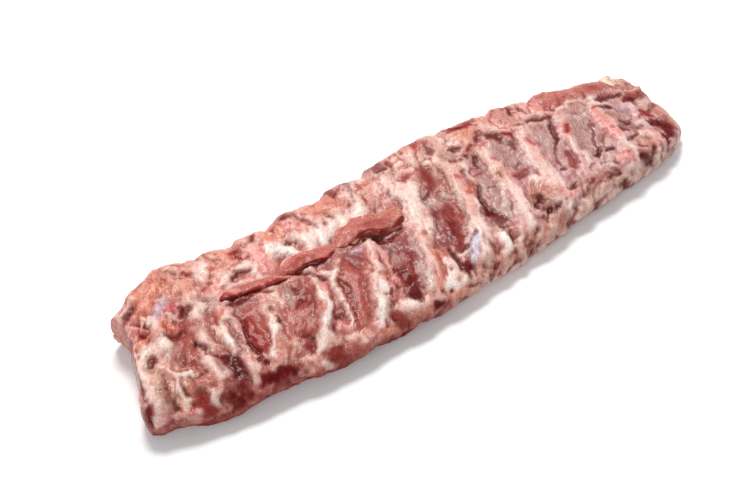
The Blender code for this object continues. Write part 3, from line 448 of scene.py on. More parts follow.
    ("brown", -0.7, (150, -29, 0.8), (156, -32, 0.9), (161, -38, 0.8)),
    ("brown", -1.1, (111, -38, 1.6), (118, -36, 1.8)),
    ("brown", -0.9, (124, -47, 1.4), (126, -42, 1.5)), ("pit", -0.7, (129, -42, 0.8), (132, -40, 0.8)),
    ("brown", -1.1, (141, -48, 2), (149, -45, 2.6), (155, -48, 2)),
    ("brown", -0.6, (147, -40, 0.8), (155, -39, 0.8)), ("pink", 0.6, (166, -35, 2.8), (171, -38, 3)),
    ("ivory", 0.7, (111, -53, 1.4), (117, -58, 1.6)), ("brown", -0.5, (160, -60, 2), (158, -68, 2.2)),
    # Twelfth and thirteenth ribs, rounded end.
    ("flesh", 1.8, (192, 43, 9), (208, 37, 7.5)),
    ("peach", 1.6, (155, 45, 7), (172, 46, 9), (188, 44, 9)),
    ("flesh", 1.2, (218, 38, 6), (232, 34, 6), (244, 36, 5)),
    ("pink", 1.0, (204, 31, 1.4), (215, 30, 1.6), (222, 27, 1.6), (232, 24, 1.8), (246, 25, 1.8),
     (256, 31, 1.6)),
    ("cream", 0.8, (160, 33, 1.6), (172, 33, 1.8), (184, 30, 1.2)),
    ("tan", 0.4, (172, 28, 3), (177, 26, 3)),
    ("brown", -0.6, (170, 32, 0.8), (178, 31, 0.8), (181, 25, 0.8)),
    ("grey", 0.3, (167, 18, 3), (172, 15, 3)), ("ivory", 0.5, (175, 17, 1.2), (177, 18, 1)),
    ("pink", 1.1, (184, 18, 3), (183, 0, 4), (182, -12, 3.4)),
    ("brown", -0.4, (183, -5, 1), (183, -7, 1)), ("dark", -1.2, (195, 26, 2.8), (203, 25, 3)),
    ("brown", -0.9, (208, 26, 2), (220, 24, 2.4)),
    ("dark", -1.0, (185, 19, 1.2), (192, 17, 1.8), (201, 15, 1.8)),
    ("crimson", -0.3, (198, 16, 1), (202, 15, 1.2)), ("maroon", -0.8, (218, 17, 2.8), (226, 16, 4)),
    ("lean", 0, (232, 17, 3.6), (246, 21, 4), (257, 24, 3.4)),
    ("lavender", 0.2, (207, 12, 3), (212, 5, 3.4)), ("grey", -0.5, (194, 9, 3.6), (204, 5, 4)),
    ("brown", -1.0, (196, -3, 2.2), (199, -6, 2)), ("pit", -0.7, (202, -4, 0.8), (206, -4, 0.8)),
    ("brown", -0.4, (189, -10, 2.6), (193, -12, 2.4)), ("crimson", 0, (213, -5, 1.8), (217, -3, 1.8)),
    ("red", 0.1, (221, 2, 2.4), (224, -6, 2.6)),
    ("pit", -2.4, (184, -24, 1), (190, -22, 1.3), (198, -20, 1)),
    ("brown", -1.0, (228, -3, 1.2), (235, 2, 1.4), (246, 7, 1.4)),
    ("maroon", -1.2, (220, -17, 5), (227, -23, 7), (222, -31, 4)),
    ("dark", -0.6, (216, -30, 2.4), (215, -37, 2.4)), ("fat", 0.9, (201, -21, 3), (208, -28, 4)),
    ("brown", -0.6, (203, -13, 1.4), (207, -14, 1.4)), ("tan", 0.6, (197, -32, 4), (192, -37, 4)),
    ("brown", -1.2, (188, -33, 1.8), (191, -35, 1.6)),
    ("brown", -1.4, (182, -43, 3.2), (187, -49, 3.6), (186, -56, 3)),
    ("brown", -0.6, (206, -36, 1.2), (204, -48, 1.2)), ("dark", -0.8, (216, -42, 1.8), (212, -46, 1.8)),
    ("red", 0.1, (173, -34, 1.6), (175, -35, 1.4)), ("cream", 0.7, (170, -50, 2), (174, -64, 2)),
    ("cream", 0.7, (197, -52, 1.6), (201, -62, 1.6)),
)

# Loose strips of muscle: (name, course of (x, y, lift, half width, thickness), tissue, marks on it).
STRIPS = (
    ("loose_strip_near", (
        (-163, 12, 0.0, 4.5, 2.4), (-157, 14, 0.2, 6.5, 3.2), (-149, 14, 0.2, 5.5, 3.0),
        (-140, 13, 0.2, 5.5, 2.8), (-131, 11, 0.2, 5.5, 2.8), (-120, 9, 0.1, 5, 2.4),
        (-109, 7, 0.0, 3.5, 1.8),
    ), "rose", (
        ("red", 0, (-163, 12, 3.5), (-158, 12, 4)), ("dark", 0, (-162, 8, 2.5), (-152, 9, 2)),
        ("pink", 0, (-151, 17, 2.6), (-149, 13, 2.6)), ("red", 0, (-148, 9, 1.8), (-134, 7, 1.8)),
        ("peach", 0, (-140, 15, 4), (-130, 12, 4)), ("red", 0, (-128, 6, 1.8), (-116, 5, 2)),
        ("tan", 0, (-115, 9, 2.4), (-108, 8, 2.4)),
    )),
    ("loose_strip_middle", (
        (-114, 11, 0.0, 6, 2.2), (-106, 14, 0.2, 9.5, 3.2), (-97, 14, 0.3, 10.5, 3.4),
        (-88, 12, 0.2, 9, 2.8), (-79, 12, 0.0, 8, 2.2), (-69, 14, 0.0, 6, 1.8),
    ), "rose", (
        ("cream", 0, (-113, 19, 1.8), (-105, 23, 2), (-95, 23, 2.2), (-86, 19, 2)),
        ("flesh", 0, (-108, 10, 4), (-98, 11, 5), (-90, 8, 3)),
        ("lean", 0, (-106, 5, 2), (-96, 4, 2), (-86, 4, 2)),
        ("rose", 0, (-84, 11, 3.5), (-74, 12, 3.5)), ("red", 0, (-84, 4, 1.6), (-74, 6, 1.6)),
    )),
    ("loose_strip_far", (
        (-69, 11, 0.0, 5, 1.8), (-59, 15, 0.2, 10.5, 3.0), (-49, 17, 0.3, 12.5, 3.8),
        (-38, 15, 0.4, 13.5, 4.4), (-28, 12, 0.4, 13.5, 4.4), (-19, 14, 0.2, 12, 3.6),
        (-9, 19, 0.0, 8.5, 2.2),
    ), "peach", (
        ("rose", 0, (-62, 17, 5), (-50, 22, 6), (-38, 23, 5)), ("flesh", 0, (-40, 12, 3), (-26, 9, 4)),
        ("lean", 0, (-50, 7, 2), (-40, 4, 2.4), (-30, 2, 2.4)),
        ("tan", 0, (-26, 23, 4), (-15, 22, 5), (-8, 19, 5)),
    )),
)


def smooth_step(low, high, value):
    """0 below low, 1 above high, and a smooth rise between them."""
    t = np.clip((value - low) / (high - low), 0.0, 1.0)
    return t * t * (3.0 - 2.0 * t)


def table_at(table, x):
    """What a table of (x, value) gives at x, straight between its points."""
    return np.interp(x, *np.transpose(table))


def along(points, t):
    """Points of the smooth curve through these, at t from 0 to 1 by the length of its chords."""
    points = np.array(points, float)
    chords = np.linalg.norm(np.diff(points, axis=0), axis=1)
    knots = np.concatenate([[0.0], np.cumsum(chords)]) / chords.sum()
    slopes = np.gradient(points, knots, axis=0)
    i = np.clip(np.searchsorted(knots, t, side="right") - 1, 0, len(points) - 2)
    step = (knots[i + 1] - knots[i])[..., None]
    u = (t - knots[i])[..., None] / step
    return (
        (2 * u**3 - 3 * u**2 + 1) * points[i]
        + (u**3 - 2 * u**2 + u) * step * slopes[i]
        + (3 * u**2 - 2 * u**3) * points[i + 1]
        + (u**3 - u**2) * step * slopes[i + 1]
    )


def mottle(places, size, seed, octaves=2):
    """Smooth noise of about -1 to 1 over these places, whose lumps are about this size."""
    shifted = places / size + seed * 17.3
    return np.array([noise.fractal(Vector(p), 0.9, 2.1, octaves) for p in shifted.tolist()]) * 1.4


def rib_x(place, y):
    """Where a rib's line is at y. Past the chine it leans a little less."""
    chine, tip = place
    share = (y - RIB_TIP_Y) / (RIB_CHINE_Y - RIB_TIP_Y)
    return tip + (chine - tip) * (share - 0.12 * np.maximum(share - 1.0, 0.0))


def linear(colour):
    """A colour as seen, made linear."""
    colour = np.array(colour, float)
    return np.where(colour > 0.04045, ((colour + 0.055) / 1.055) ** 2.4, colour / 12.92)


def chain(x, y, points):
    """How a chain of discs (x, y, radius) lies: (how far outside it each place is, the nearest
    disc's radius, and the distances across and along it)."""
    gap = np.full_like(x, 1e9)
    radius, across, run = np.ones_like(x), np.zeros_like(x), np.zeros_like(x)
    start = 0.0
    for (x0, y0, r0), (x1, y1, r1) in zip(points[:-1], points[1:]):
        run_x, run_y = x1 - x0, y1 - y0
        length = math.hypot(run_x, run_y)
        share = np.clip(((x - x0) * run_x + (y - y0) * run_y) / length**2, 0.0, 1.0)
        size = r0 + (r1 - r0) * share
        away = np.hypot(x - x0 - share * run_x, y - y0 - share * run_y) - size
        nearer = away < gap
        side = ((x - x0) * run_y - (y - y0) * run_x) / length
        gap = np.where(nearer, away, gap)
        radius = np.where(nearer, size, radius)
        across = np.where(nearer, side, across)
        run = np.where(nearer, start + share * length, run)
        start += length
    return gap, radius, across, run


# ---- the slab's surface -------------------------------------------------------------------------


def plan(a, b):
    """The place at a along the slab and b across it, between its four edges."""
    tip, chine = along(TIP_EDGE, a), along(CHINE_EDGE, a)
    near, far = along(NEAR_END, b), along(FAR_END, b)
    a, b = a[..., None], b[..., None]
    corners = (
        (1 - a) * (1 - b) * np.array(TIP_EDGE[0])
        + a * (1 - b) * np.array(TIP_EDGE[-1])
        + (1 - a) * b * np.array(CHINE_EDGE[0])
        + a * b * np.array(CHINE_EDGE[-1])
    )
    return (1 - b) * tip + b * chine + (1 - a) * near + a * far - corners


class Surface:
    """The slab's surface on its grid, in millimetres: its places, and the same unrolled flat (u, v).

    The outer rings of the grid turn down at the sides, and share is how much of its full height
    each point has. side says how much each of the four sides has a hold on a point."""

    def __init__(self, i, j):
        ring = np.minimum(np.minimum(i, CELLS_LONG - i), np.minimum(j, CELLS_WIDE - j))
        turn = np.minimum(ring, TURN_RINGS)
        inset, share = {}, {}
        tables = {"tip": TIP_TURN, "chine": CHINE_TURN, "near": NEAR_TURN, "far": FAR_TURN}
        for name, table in tables.items():
            station = along(np.array(table, float) * (1.0, TURN_HEIGHT), turn / TURN_RINGS)
            inset[name], share[name] = station[..., 0], np.clip(station[..., 1] / TURN_HEIGHT, 0.0, 1.0)
        long, wide = LENGTH / MM, WIDTH / MM
        low_a, high_a = inset["near"] / long, 1.0 - inset["far"] / long
        low_b, high_b = inset["tip"] / wide, 1.0 - inset["chine"] / wide
        a = low_a + (high_a - low_a) * (i - turn) / (CELLS_LONG - 2 * turn)
        b = low_b + (high_b - low_b) * (j - turn) / (CELLS_WIDE - 2 * turn)
        self.side = self.holds(i, j, turn)
        self.share = np.where(ring >= TURN_RINGS, 1.0, sum(self.side[n] * share[n] for n in share))

        x, y = plan(a, b).T
        crown = crown_at(x, y)
        lump = table_at(CHINE_LUMPS, x) * smooth_step(26, 56, y)
        self.x, self.y = x, y + lump * (LUMP_FOOT + (1 - LUMP_FOOT) * self.share)
        lift = table_at(TIP_LIFT, x) * self.side["tip"]
        lift += NEAR_LIFT * self.side["near"] * smooth_step(2, 22, y)
        self.z = (crown + lump) * self.share + lift * (1.0 - self.share)
        drop = UNROLLED * (crown + lump) * (1.0 - self.share)
        self.u = self.x + drop * (self.side["far"] - self.side["near"])
        self.v = self.y + drop * (self.side["chine"] - self.side["tip"])

    @staticmethod
    def holds(i, j, turn):
        """How much each side has a hold on a point: it fades over a few cells from the side."""
        cells = {
            "near": i - turn, "far": CELLS_LONG - i - turn,
            "tip": j - turn, "chine": CELLS_WIDE - j - turn,
        }
        weight = {name: 1.0 / (1.0 + count / CORNER_CELLS) ** 2 for name, count in cells.items()}
        total = sum(weight.values())
        return {name: value / total for name, value in weight.items()}


def crown_at(x, y):
    """The slab's mean height in millimetres, which thins towards the rounded end."""
    far = smooth_step(FAR_THINNING_TO - FAR_THINNING_LENGTH, FAR_THINNING_TO, x)
    return table_at(CROWN, y) * (1.0 - FAR_THINNING * far)


def to_grid(values):
    """A field's values as the rows and columns of the slab's grid."""
    return values.reshape(CELLS_LONG + 1, CELLS_WIDE + 1, -1)


def blurred(values, cells):
    """A field on the grid, averaged over this many cells each way."""
    out = to_grid(values)[..., 0]
    for axis in (0, 1):
        padding = [(0, 0), (0, 0)]
        padding[axis] = (cells, cells)
        sums = np.cumsum(np.pad(out, padding, mode="edge"), axis=axis)
        zero = np.zeros_like(np.take(sums, [0], axis=axis))
        sums = np.concatenate([zero, sums], axis=axis)
        size = 2 * cells + 1
        high = np.take(sums, range(size, sums.shape[axis]), axis=axis)
        low = np.take(sums, range(0, sums.shape[axis] - size), axis=axis)
        out = (high - low) / size
    return out.reshape(-1)


def normals(x, y, z):
    """The surface's unit normals on the grid."""
    place = to_grid(np.stack([x, y, z], axis=-1))
    cross = np.cross(np.gradient(place, axis=0), np.gradient(place, axis=1))
    cross /= np.maximum(np.linalg.norm(cross, axis=-1, keepdims=True), 1e-9)
    return cross.reshape(-1, 3)


# ---- what is painted on it ----------------------------------------------------------------------


class Skin:
    """What is painted on a surface: its relief in mm, tissue colour with painted shade in hollows and
    painted highlight on crests, leanness, film and grain.
    """

    def __init__(self, u, v, grain, base, tissues):
        self.u, self.v, self.tissues = u, v, tissues
        self.relief = np.zeros_like(u)
        self.colour = np.tile(tissues[base], (len(u), 1))
        self.lean = np.full(len(u), LEANNESS[base])
        self.film = np.zeros_like(u)
        self.grain = grain.copy()
        self.ragged = np.zeros_like(u)
        self.patchy = np.ones_like(u)

    def lay(self, name, amount, part=slice(None)):
        """Covers a share of the surface, or of a part of it, with this tissue."""
        amount = np.clip(amount, 0, 1)
        self.colour[part] += (self.tissues[name] - self.colour[part]) * amount[:, None]
        self.lean[part] += (LEANNESS[name] - self.lean[part]) * amount

    def around(self, points):
        """The numbers of the places within reach of these discs."""
        u, v, radius = np.transpose(points)
        reach = 2.0 + 1.6 * radius.max()
        inside = (self.u > u.min() - reach) & (self.u < u.max() + reach)
        return np.flatnonzero(inside & (self.v > v.min() - reach) & (self.v < v.max() + reach))

    def wash(self, marks):
        """Soft-edged patches of a tissue's colour, (tissue, share, places with radii)."""
        for name, share, *points in marks:
            part = self.around(points)
            gap, radius, _, _ = chain(self.u[part], self.v[part], points)
            gap += 0.45 * radius * self.ragged[part]
            self.lay(name, share * (1 - smooth_step(-0.6 * radius, 0.55 * radius, gap)), part)

    def mark(self, marks):
        """Folds, muscles, strands and pits: (tissue, rise, places with radii)."""
        for name, rise, *points in marks:
            part = self.around(points)
            gap, radius, across, run = chain(self.u[part], self.v[part], points)
            gap += np.minimum(0.75 * radius, 1.5) * self.ragged[part]
            # Its colour: a thin mark covers less than a wide one, and only dark meat and dark painted
            # shade are even.
            pale = LEANNESS[name] < 0.3
            dark = not pale and self.tissues[name][1] < 0.06
            mask = 1 - smooth_step(-0.75 * radius, 0.45 * radius + 1.0, gap)
            even = np.maximum(self.patchy[part], 0.9 if dark else 0.0)
            strength = np.clip((0.18 if pale else 0.26) + 0.36 * radius, 0, 1)
            self.lay(name, 0.97 * mask * even * strength, part)
            # Its relief: a wide mark smooths what it lies on, and a pit has softer sides than a fold.
            self.relief[part] *= 1 - mask * 0.7 * smooth_step(1.6, 4.0, radius)
            if rise > 0:
                self.relief[part] += rise * mask * np.clip(0.3 + 0.3 * radius, 0, 1)
            else:
                deep = 1 - smooth_step(-1.1 * radius, 0.4 * radius + 0.9, gap)
                self.relief[part] += rise * 0.65 * deep * np.clip(0.15 + 0.42 * radius, 0, 1)
            if LEANNESS[name] >= 0.6 and radius.max() > 2.0:
                fibre = np.stack([across + 40, run, self.grain[part, 2]], axis=-1)
                self.grain[part] += (fibre - self.grain[part]) * (gap < -0.2 * radius)[:, None]

    def finish(self, streak, small, middle, close_mean=0.0, wide_mean=0.0):
        """Paints shade into the colour in hollows and a highlight onto crests, and streaks it along the
        grain.

        Hollows and crests stand out from the relief's mean close by and over a wider reach."""
        hollow, wide_hollow = close_mean - self.relief, wide_mean - self.relief
        close, wide, most = HOLLOW_SHADE
        shade = 1 - np.clip(close * np.maximum(hollow, 0) + wide * np.maximum(wide_hollow, 0), 0, most)
        close, wide, most = CREST_PAINTED_HIGHLIGHT
        painted_crest_highlight = np.clip(close * np.maximum(-hollow, 0) + wide * np.maximum(-wide_hollow, 0), 0, most)
        # Painted shade in the hollows, taking more green and blue than red.
        self.colour *= shade[:, None] ** np.array(SHADE_POWERS)
        # Painted highlight on the crests, towards ivory, less on lean meat.
        self.colour += (self.tissues["ivory"] - self.colour) * (painted_crest_highlight * (1 - 0.7 * self.lean))[:, None]
        redder = np.clip(0.30 * streak + 0.15 * small, -0.25, 0.45)
        self.colour *= 1 - redder[:, None] * np.array(STREAK_TAKES)
        self.colour *= (1 + 0.06 * middle)[:, None]
        palest = np.array(PALEST)
        self.colour = np.clip(palest * (np.clip(self.colour, 0.0, 1.0) / palest) ** CONTRAST, 0.0, 1.0)


def rib_flow(u, v):
    """Where each place would be on the line y = -15 if it slid there along the ribs, and the ribs'
    own places on that line."""
    lines = np.array([rib_x(place, v) for place in RIB_PLACES])
    base = np.array([rib_x(place, -15.0) for place in RIB_PLACES])
    i = np.clip((lines <= u).sum(axis=0) - 1, 0, len(base) - 2)
    every = np.arange(len(u))
    share = (u - lines[i, every]) / (lines[i + 1, every] - lines[i, every])
    return base[i] + share * (base[i + 1] - base[i]), base


class Ground:
    """The slab's surface as zones, each 0 to 1, and the noise of -1 to 1 that breaks them up."""

    def __init__(self, surface):
        self.x, self.y, self.z = surface.x, surface.y, surface.z
        self.side, self.share = surface.side, surface.share
        places = np.stack([self.x, self.y, self.z], axis=-1)
        self.u = surface.u + 1.3 * mottle(places, 10.0, 1, 1) + 0.7 * mottle(places, 4.0, 2, 1)
        self.v = surface.v + 1.3 * mottle(places, 10.0, 3, 1) + 0.7 * mottle(places, 4.0, 4, 1)
        flow, bases = rib_flow(self.u + 2.0 * mottle(places, 17.0, 13, 1), self.v)
        self.grain = np.stack([flow, self.v, self.z], axis=-1)

        self.big, self.middle = mottle(places, 26.0, 5), mottle(places, 8.0, 6)
        self.small, self.tiny = mottle(places, 3.0, 7), mottle(places, 1.5, 12, 1)
        self.streak = mottle(self.grain * (1, 0.25, 0.25), 4.0, 8)
        self.bands = mottle(self.grain * (1, 0.35, 0.35), 11.0, 9)
        bent = places + 2.5 * np.stack([self.middle, self.big, self.small], axis=-1)
        self.billow = np.abs(mottle(bent, 19.0, 10, 2))
        self.puffs = np.abs(mottle(bent, 8.0, 11, 1))

        # The ribs and the valleys between them, and the lumpy fat around their zone.
        nearest = np.abs(bases[:, None] - flow).min(axis=0)
        self.ribness = np.exp(-((nearest / RIB_HALF_WIDTH) ** 2))
        self.ribbed = smooth_step(-64, -52, surface.v) * (1 - smooth_step(20, 38, self.y))
        self.ribbed *= smooth_step(-248, -238, self.x) * (1 - smooth_step(218, 236, self.x))
        self.valley = (1 - self.ribness) * self.ribbed
        self.lumpy = 1 - 0.75 * self.ribbed
        self.crumbs = self.lumpy * smooth_step(-0.1, 0.7, self.middle + 0.5 * self.big)

        # The two ends, the two long walls, and the fat fringe along the far half of the tips.
        self.near = 1 - smooth_step(-190, -60, self.x)
        self.far = smooth_step(20, 120, self.x)
        self.back = self.side["chine"] * (1 - smooth_step(0.5, 0.95, self.share))
        self.front = self.side["tip"] * (1 - smooth_step(0.6, 1.0, self.share))
        self.fatty = smooth_step(-60, 15, self.x)
        self.fringe = self.fatty * (1 - smooth_step(-56, -40, self.y - 0.10 * (self.x - 20)))
        self.fringe *= self.side["tip"] ** 0.3


def raise_ground(skin, ground, rib_rise):
    """The relief of the ribs, the bands of muscle and the lumps of fat."""
    uneven = np.clip(0.75 + 0.6 * ground.big + 0.5 * ground.bands, 0.15, 1.3) * (1 - 0.45 * ground.far)
    skin.relief += (
        rib_rise * (ground.ribness - 0.5) * ground.ribbed * uneven
        + 0.6 * ground.bands + 0.35 * ground.middle + 0.12 * ground.small
    )
    skin.relief += (
        ground.lumpy * (1.8 * np.sqrt(ground.billow) - 1.1)
        + ground.crumbs * (0.7 * np.sqrt(ground.puffs) - 0.3)
    )
    calmer = 0.9 * ground.middle + 0.8 * ground.bands - 0.5 * np.sqrt(ground.billow)
    skin.relief += ground.fringe * calmer


def cover_ground(skin, ground):
    """The fat, the meat and the films of the whole bone side."""
    big, middle, bands, streak = ground.big, ground.middle, ground.bands, ground.streak
    near, far, valley = ground.near, ground.far, ground.valley
    skin.lay("cream", 0.6 * smooth_step(-0.1, 0.5, big + 0.5 * bands))
    skin.lay("pink", 0.7 * smooth_step(0.0, 0.6, -big + 0.4 * bands))
    behind = smooth_step(20, 34, ground.y)
    skin.lay("salmon", (0.05 + 0.7 * near) * behind * smooth_step(-0.3, 0.5, middle + big))
    skin.lay("flesh", valley * (0.65 + 0.3 * near - 0.35 * far) * smooth_step(-0.6, 0.2, streak))
    skin.lay("mauve", valley * 0.6 * (1 - near) * (1 - 0.5 * far) * smooth_step(-0.3, 0.5, -bands))
    skin.lay("grey", valley * 0.6 * far * smooth_step(-0.6, 0.2, streak))
    skin.lay("blue", (0.12 + 0.18 * smooth_step(-0.3, 0.4, middle)) * far * ground.ribbed)
    tips = 1 - smooth_step(-58, -48, ground.y + 0.08 * (ground.x + 20))
    skin.lay("beige", 0.5 * tips * ground.fatty)


def cover_walls(skin, ground):
    """The meat of the walls, the rim of the chine, and the seams between lumps of fat, with painted shade
    in their creases and in the fringe's hollows.
    """
    big, middle, bands = ground.big, ground.middle, ground.bands
    front, fatty = ground.front, ground.fatty
    skin.lay("flesh", front * (1 - fatty) * 0.8 * smooth_step(-0.5, 0.4, bands + 0.2))
    skin.lay("salmon", front * (1 - fatty) * 0.5 * smooth_step(0.0, 0.5, big - 0.3 * bands))
    skin.lay("cream", front * fatty * 0.9)
    skin.lay("beige", front * fatty * 0.6 * smooth_step(-0.1, 0.4, bands + middle))
    skin.lay("lean", ground.back * 0.9 * smooth_step(-0.2, 0.3, big + bands))
    rim = smooth_step(0.0, 8.0, ground.y + 9.0 - table_at(CHINE_EDGE, ground.x))
    farther = smooth_step(-80, 0, ground.x)
    skin.lay("mauve", 0.6 * rim * farther * smooth_step(-0.5, 0.3, middle + bands))
    skin.lay("rose", 0.5 * rim * (1 - farther) * smooth_step(-0.4, 0.3, middle - bands))
    # Rose in the creases between lumps of fat: the seams' meat, and painted shade in the creases.
    seams_and_crease_shade = 1 - 0.7 * ground.fringe
    skin.lay("rose", ground.lumpy * 0.75 * (1 - smooth_step(0.02, 0.16, ground.billow)) * seams_and_crease_shade)
    skin.lay("rose", ground.crumbs * 0.45 * (1 - smooth_step(0.02, 0.14, ground.puffs)) * seams_and_crease_shade)
    # Tan in the fringe's creases and taupe in its hollows: painted shade.
    skin.lay("tan", ground.fringe * 0.5 * (1 - smooth_step(0.03, 0.30, ground.billow)))
    skin.lay("taupe", ground.fringe * 0.5 * smooth_step(0.1, 0.7, -middle - 0.7 * bands))


def cover_foot_meat_and_shade(skin, ground):
    """The red meat low on the tip side's wall, laid there also as painted shade where the wall turns
    under, and its dark foot of painted shade.
    """
    tip_side = ground.side["tip"] ** 0.5
    low = (1 - smooth_step(0.20, 0.66, ground.share)) * (1 - 0.9 * ground.fatty) * tip_side
    # Lean and red on the lower wall: its meat, and painted shade under the lifted belly.
    skin.lay("lean", 0.9 * low)
    skin.lay("red", 0.5 * low * smooth_step(-0.2, 0.4, ground.bands))
    # The dark foot: painted shade low on the wall where it turns under, more towards the rounded end.
    foot = 1 - smooth_step(0.08, 0.34, ground.share)
    end = smooth_step(60, 110, ground.x)
    skin.lay("dark", foot * (0.8 - 0.7 * ground.fatty + 0.4 * end) * tip_side)


def flatten_round_heads(skin, ground):
    """Takes the relief off the sawn side where a rib head comes through it."""
    sawn = smooth_step(0.4, 0.7, ground.side["chine"])
    for place in RIB_PLACES:
        away = np.hypot((ground.x - rib_x(place, HEAD_Y)) / 13.0, (ground.z - HEAD_Z) / 9.0)
        skin.relief *= 1 - (1 - smooth_step(0.6, 1.2, away)) * sawn


def paint(surface, tissues, rib_rise):
    """The skin of the slab's bone side and walls."""
    ground = Ground(surface)
    skin = Skin(ground.u, ground.v, ground.grain, "fat", tissues)
    skin.ragged = 0.7 * ground.streak + 0.6 * ground.small + 0.3 * ground.tiny
    skin.patchy = np.clip(0.95 + 0.4 * ground.small + 0.3 * ground.streak, 0.5, 1.0)
    raise_ground(skin, ground, rib_rise)
    cover_ground(skin, ground)
    cover_walls(skin, ground)
    skin.wash(WASHES)
    skin.mark(MARKS)
    cover_foot_meat_and_shade(skin, ground)
    skin.relief += 0.2 * ground.streak * skin.lean
    flatten_round_heads(skin, ground)
    # The relief's means close by and wider, for the painted shade in hollows and painted highlight on
    # crests.
    close_mean, wide_mean = blurred(skin.relief, 3), blurred(skin.relief, 9)
    skin.finish(ground.streak, ground.small, ground.middle, close_mean, wide_mean)
    # The film: whitish membrane in the valleys and on the fat, whose pale streaks in the material are also
    # a painted wet sheen.
    filmy = ground.valley * smooth_step(-0.2, 0.6, ground.middle + 0.6 * ground.far)
    skin.film = np.clip(filmy + 0.3 * (1 - skin.lean), 0, 1)
    skin.film *= smooth_step(0.03, 0.20, skin.colour[:, 1])
    return skin


def paint_under(x, y, tissues):
    """The skin of the meat side, which the rack lies on: long lean muscle with seams of fat."""
    places = np.stack([x, y, np.zeros_like(x)], axis=-1)
    big, middle = mottle(places, 30.0, 21), mottle(places, 9.0, 22)
    streak = mottle(places * (0.25, 1, 1), 6.0, 23)
    skin = Skin(x, y, places[:, [1, 0, 2]], "flesh", tissues)
    skin.relief = np.maximum(0.55 + 0.35 * middle + 0.3 * streak, 0.0)
    skin.lay("lean", smooth_step(-0.2, 0.4, big + 0.5 * streak))
    skin.lay("salmon", 0.8 * smooth_step(0.2, 0.7, middle - 0.4 * big))
    skin.lay("cream", 0.9 * (1 - smooth_step(0.0, 0.16, np.abs(mottle(places, 40.0, 24, 3)))))
    return skin


# ---- materials ----------------------------------------------------------------------------------


class Nodes:
    """Short ways to build a material's node tree."""

    def __init__(self, name):
        self.material = bpy.data.materials.new(name)
        self.material.use_nodes = True
        self.tree = self.material.node_tree
        self.shader = self.tree.nodes["Principled BSDF"]

    def add(self, kind, settings=None, **inputs):
        """A node with these settings; each input is a value or another node's socket."""
        node = self.tree.nodes.new(kind)
        for key, value in (settings or {}).items():
            setattr(node, key, value)
        for key, value in inputs.items():
            numbered = key[0] == "i" and key[1:].isdigit()
            self.put(node.inputs[int(key[1:]) if numbered else key.replace("_", " ")], value)
        return node

    def put(self, socket, value):
        """Links another node's socket to this one, or sets its value."""
        if isinstance(value, bpy.types.NodeSocket):
            self.tree.links.new(value, socket)
        else:
            socket.default_value = value

    def math(self, operation, a, b=0.0, c=0.0):
        """The result of a maths operation."""
        return self.add("ShaderNodeMath", {"operation": operation}, i0=a, i1=b, i2=c).outputs[0]

    def mix(self, share, a, b):
        """The colour that is this share of the way from a to b."""
        return self.add("ShaderNodeMix", {"data_type": "RGBA"}, i0=share, i6=a, i7=b).outputs[2]

    def noise(self, vector, scale, detail=2.0, roughness=0.5, distortion=0.0):
        """Noise of about 0 to 1."""
        node = self.add(
            "ShaderNodeTexNoise", None, Vector=vector, Scale=scale, Detail=detail, Roughness=roughness,
            Distortion=distortion,
        )
        return node.outputs["Fac"]

    def ramp(self, value, low, high):
        """0 below low and 1 above high."""
        node = self.add("ShaderNodeMapRange", {"interpolation_type": "SMOOTHSTEP"}, Value=value)
        node.inputs["From Min"].default_value = low
        node.inputs["From Max"].default_value = high
        return node.outputs[0]

    def rising(self, value, low, high, most):
        """0 below low and this most above high."""
        return self.math("MULTIPLY", self.ramp(value, low, high), most)

    def stretched(self, vector, *scale):
        """A pattern's coordinates, stretched along an axis whose scale is under 1."""
        return self.add("ShaderNodeMapping", None, Vector=vector, Scale=scale).outputs[0]

    def attribute(self, name, output="Fac"):
        """An attribute of the piece's points."""
        return self.add("ShaderNodeAttribute", {"attribute_name": name}).outputs[output]

    def surface(self, colour, roughness, height, strength, distance, inverted=False):
        """Sets the shader's colour, roughness and fine relief."""
        self.put(self.shader.inputs["Base Color"], colour)
        self.put(self.shader.inputs["Roughness"], roughness)
        settings = {"invert": inverted}
        bump = self.add("ShaderNodeBump", settings, Height=height, Strength=strength, Distance=distance)
        self.put(self.shader.inputs["Normal"], bump.outputs[0])

    def constant(self, **values):
        """Sets the shader's sockets to plain values."""
        for key, value in values.items():
            self.shader.inputs[key.replace("_", " ")].default_value = value


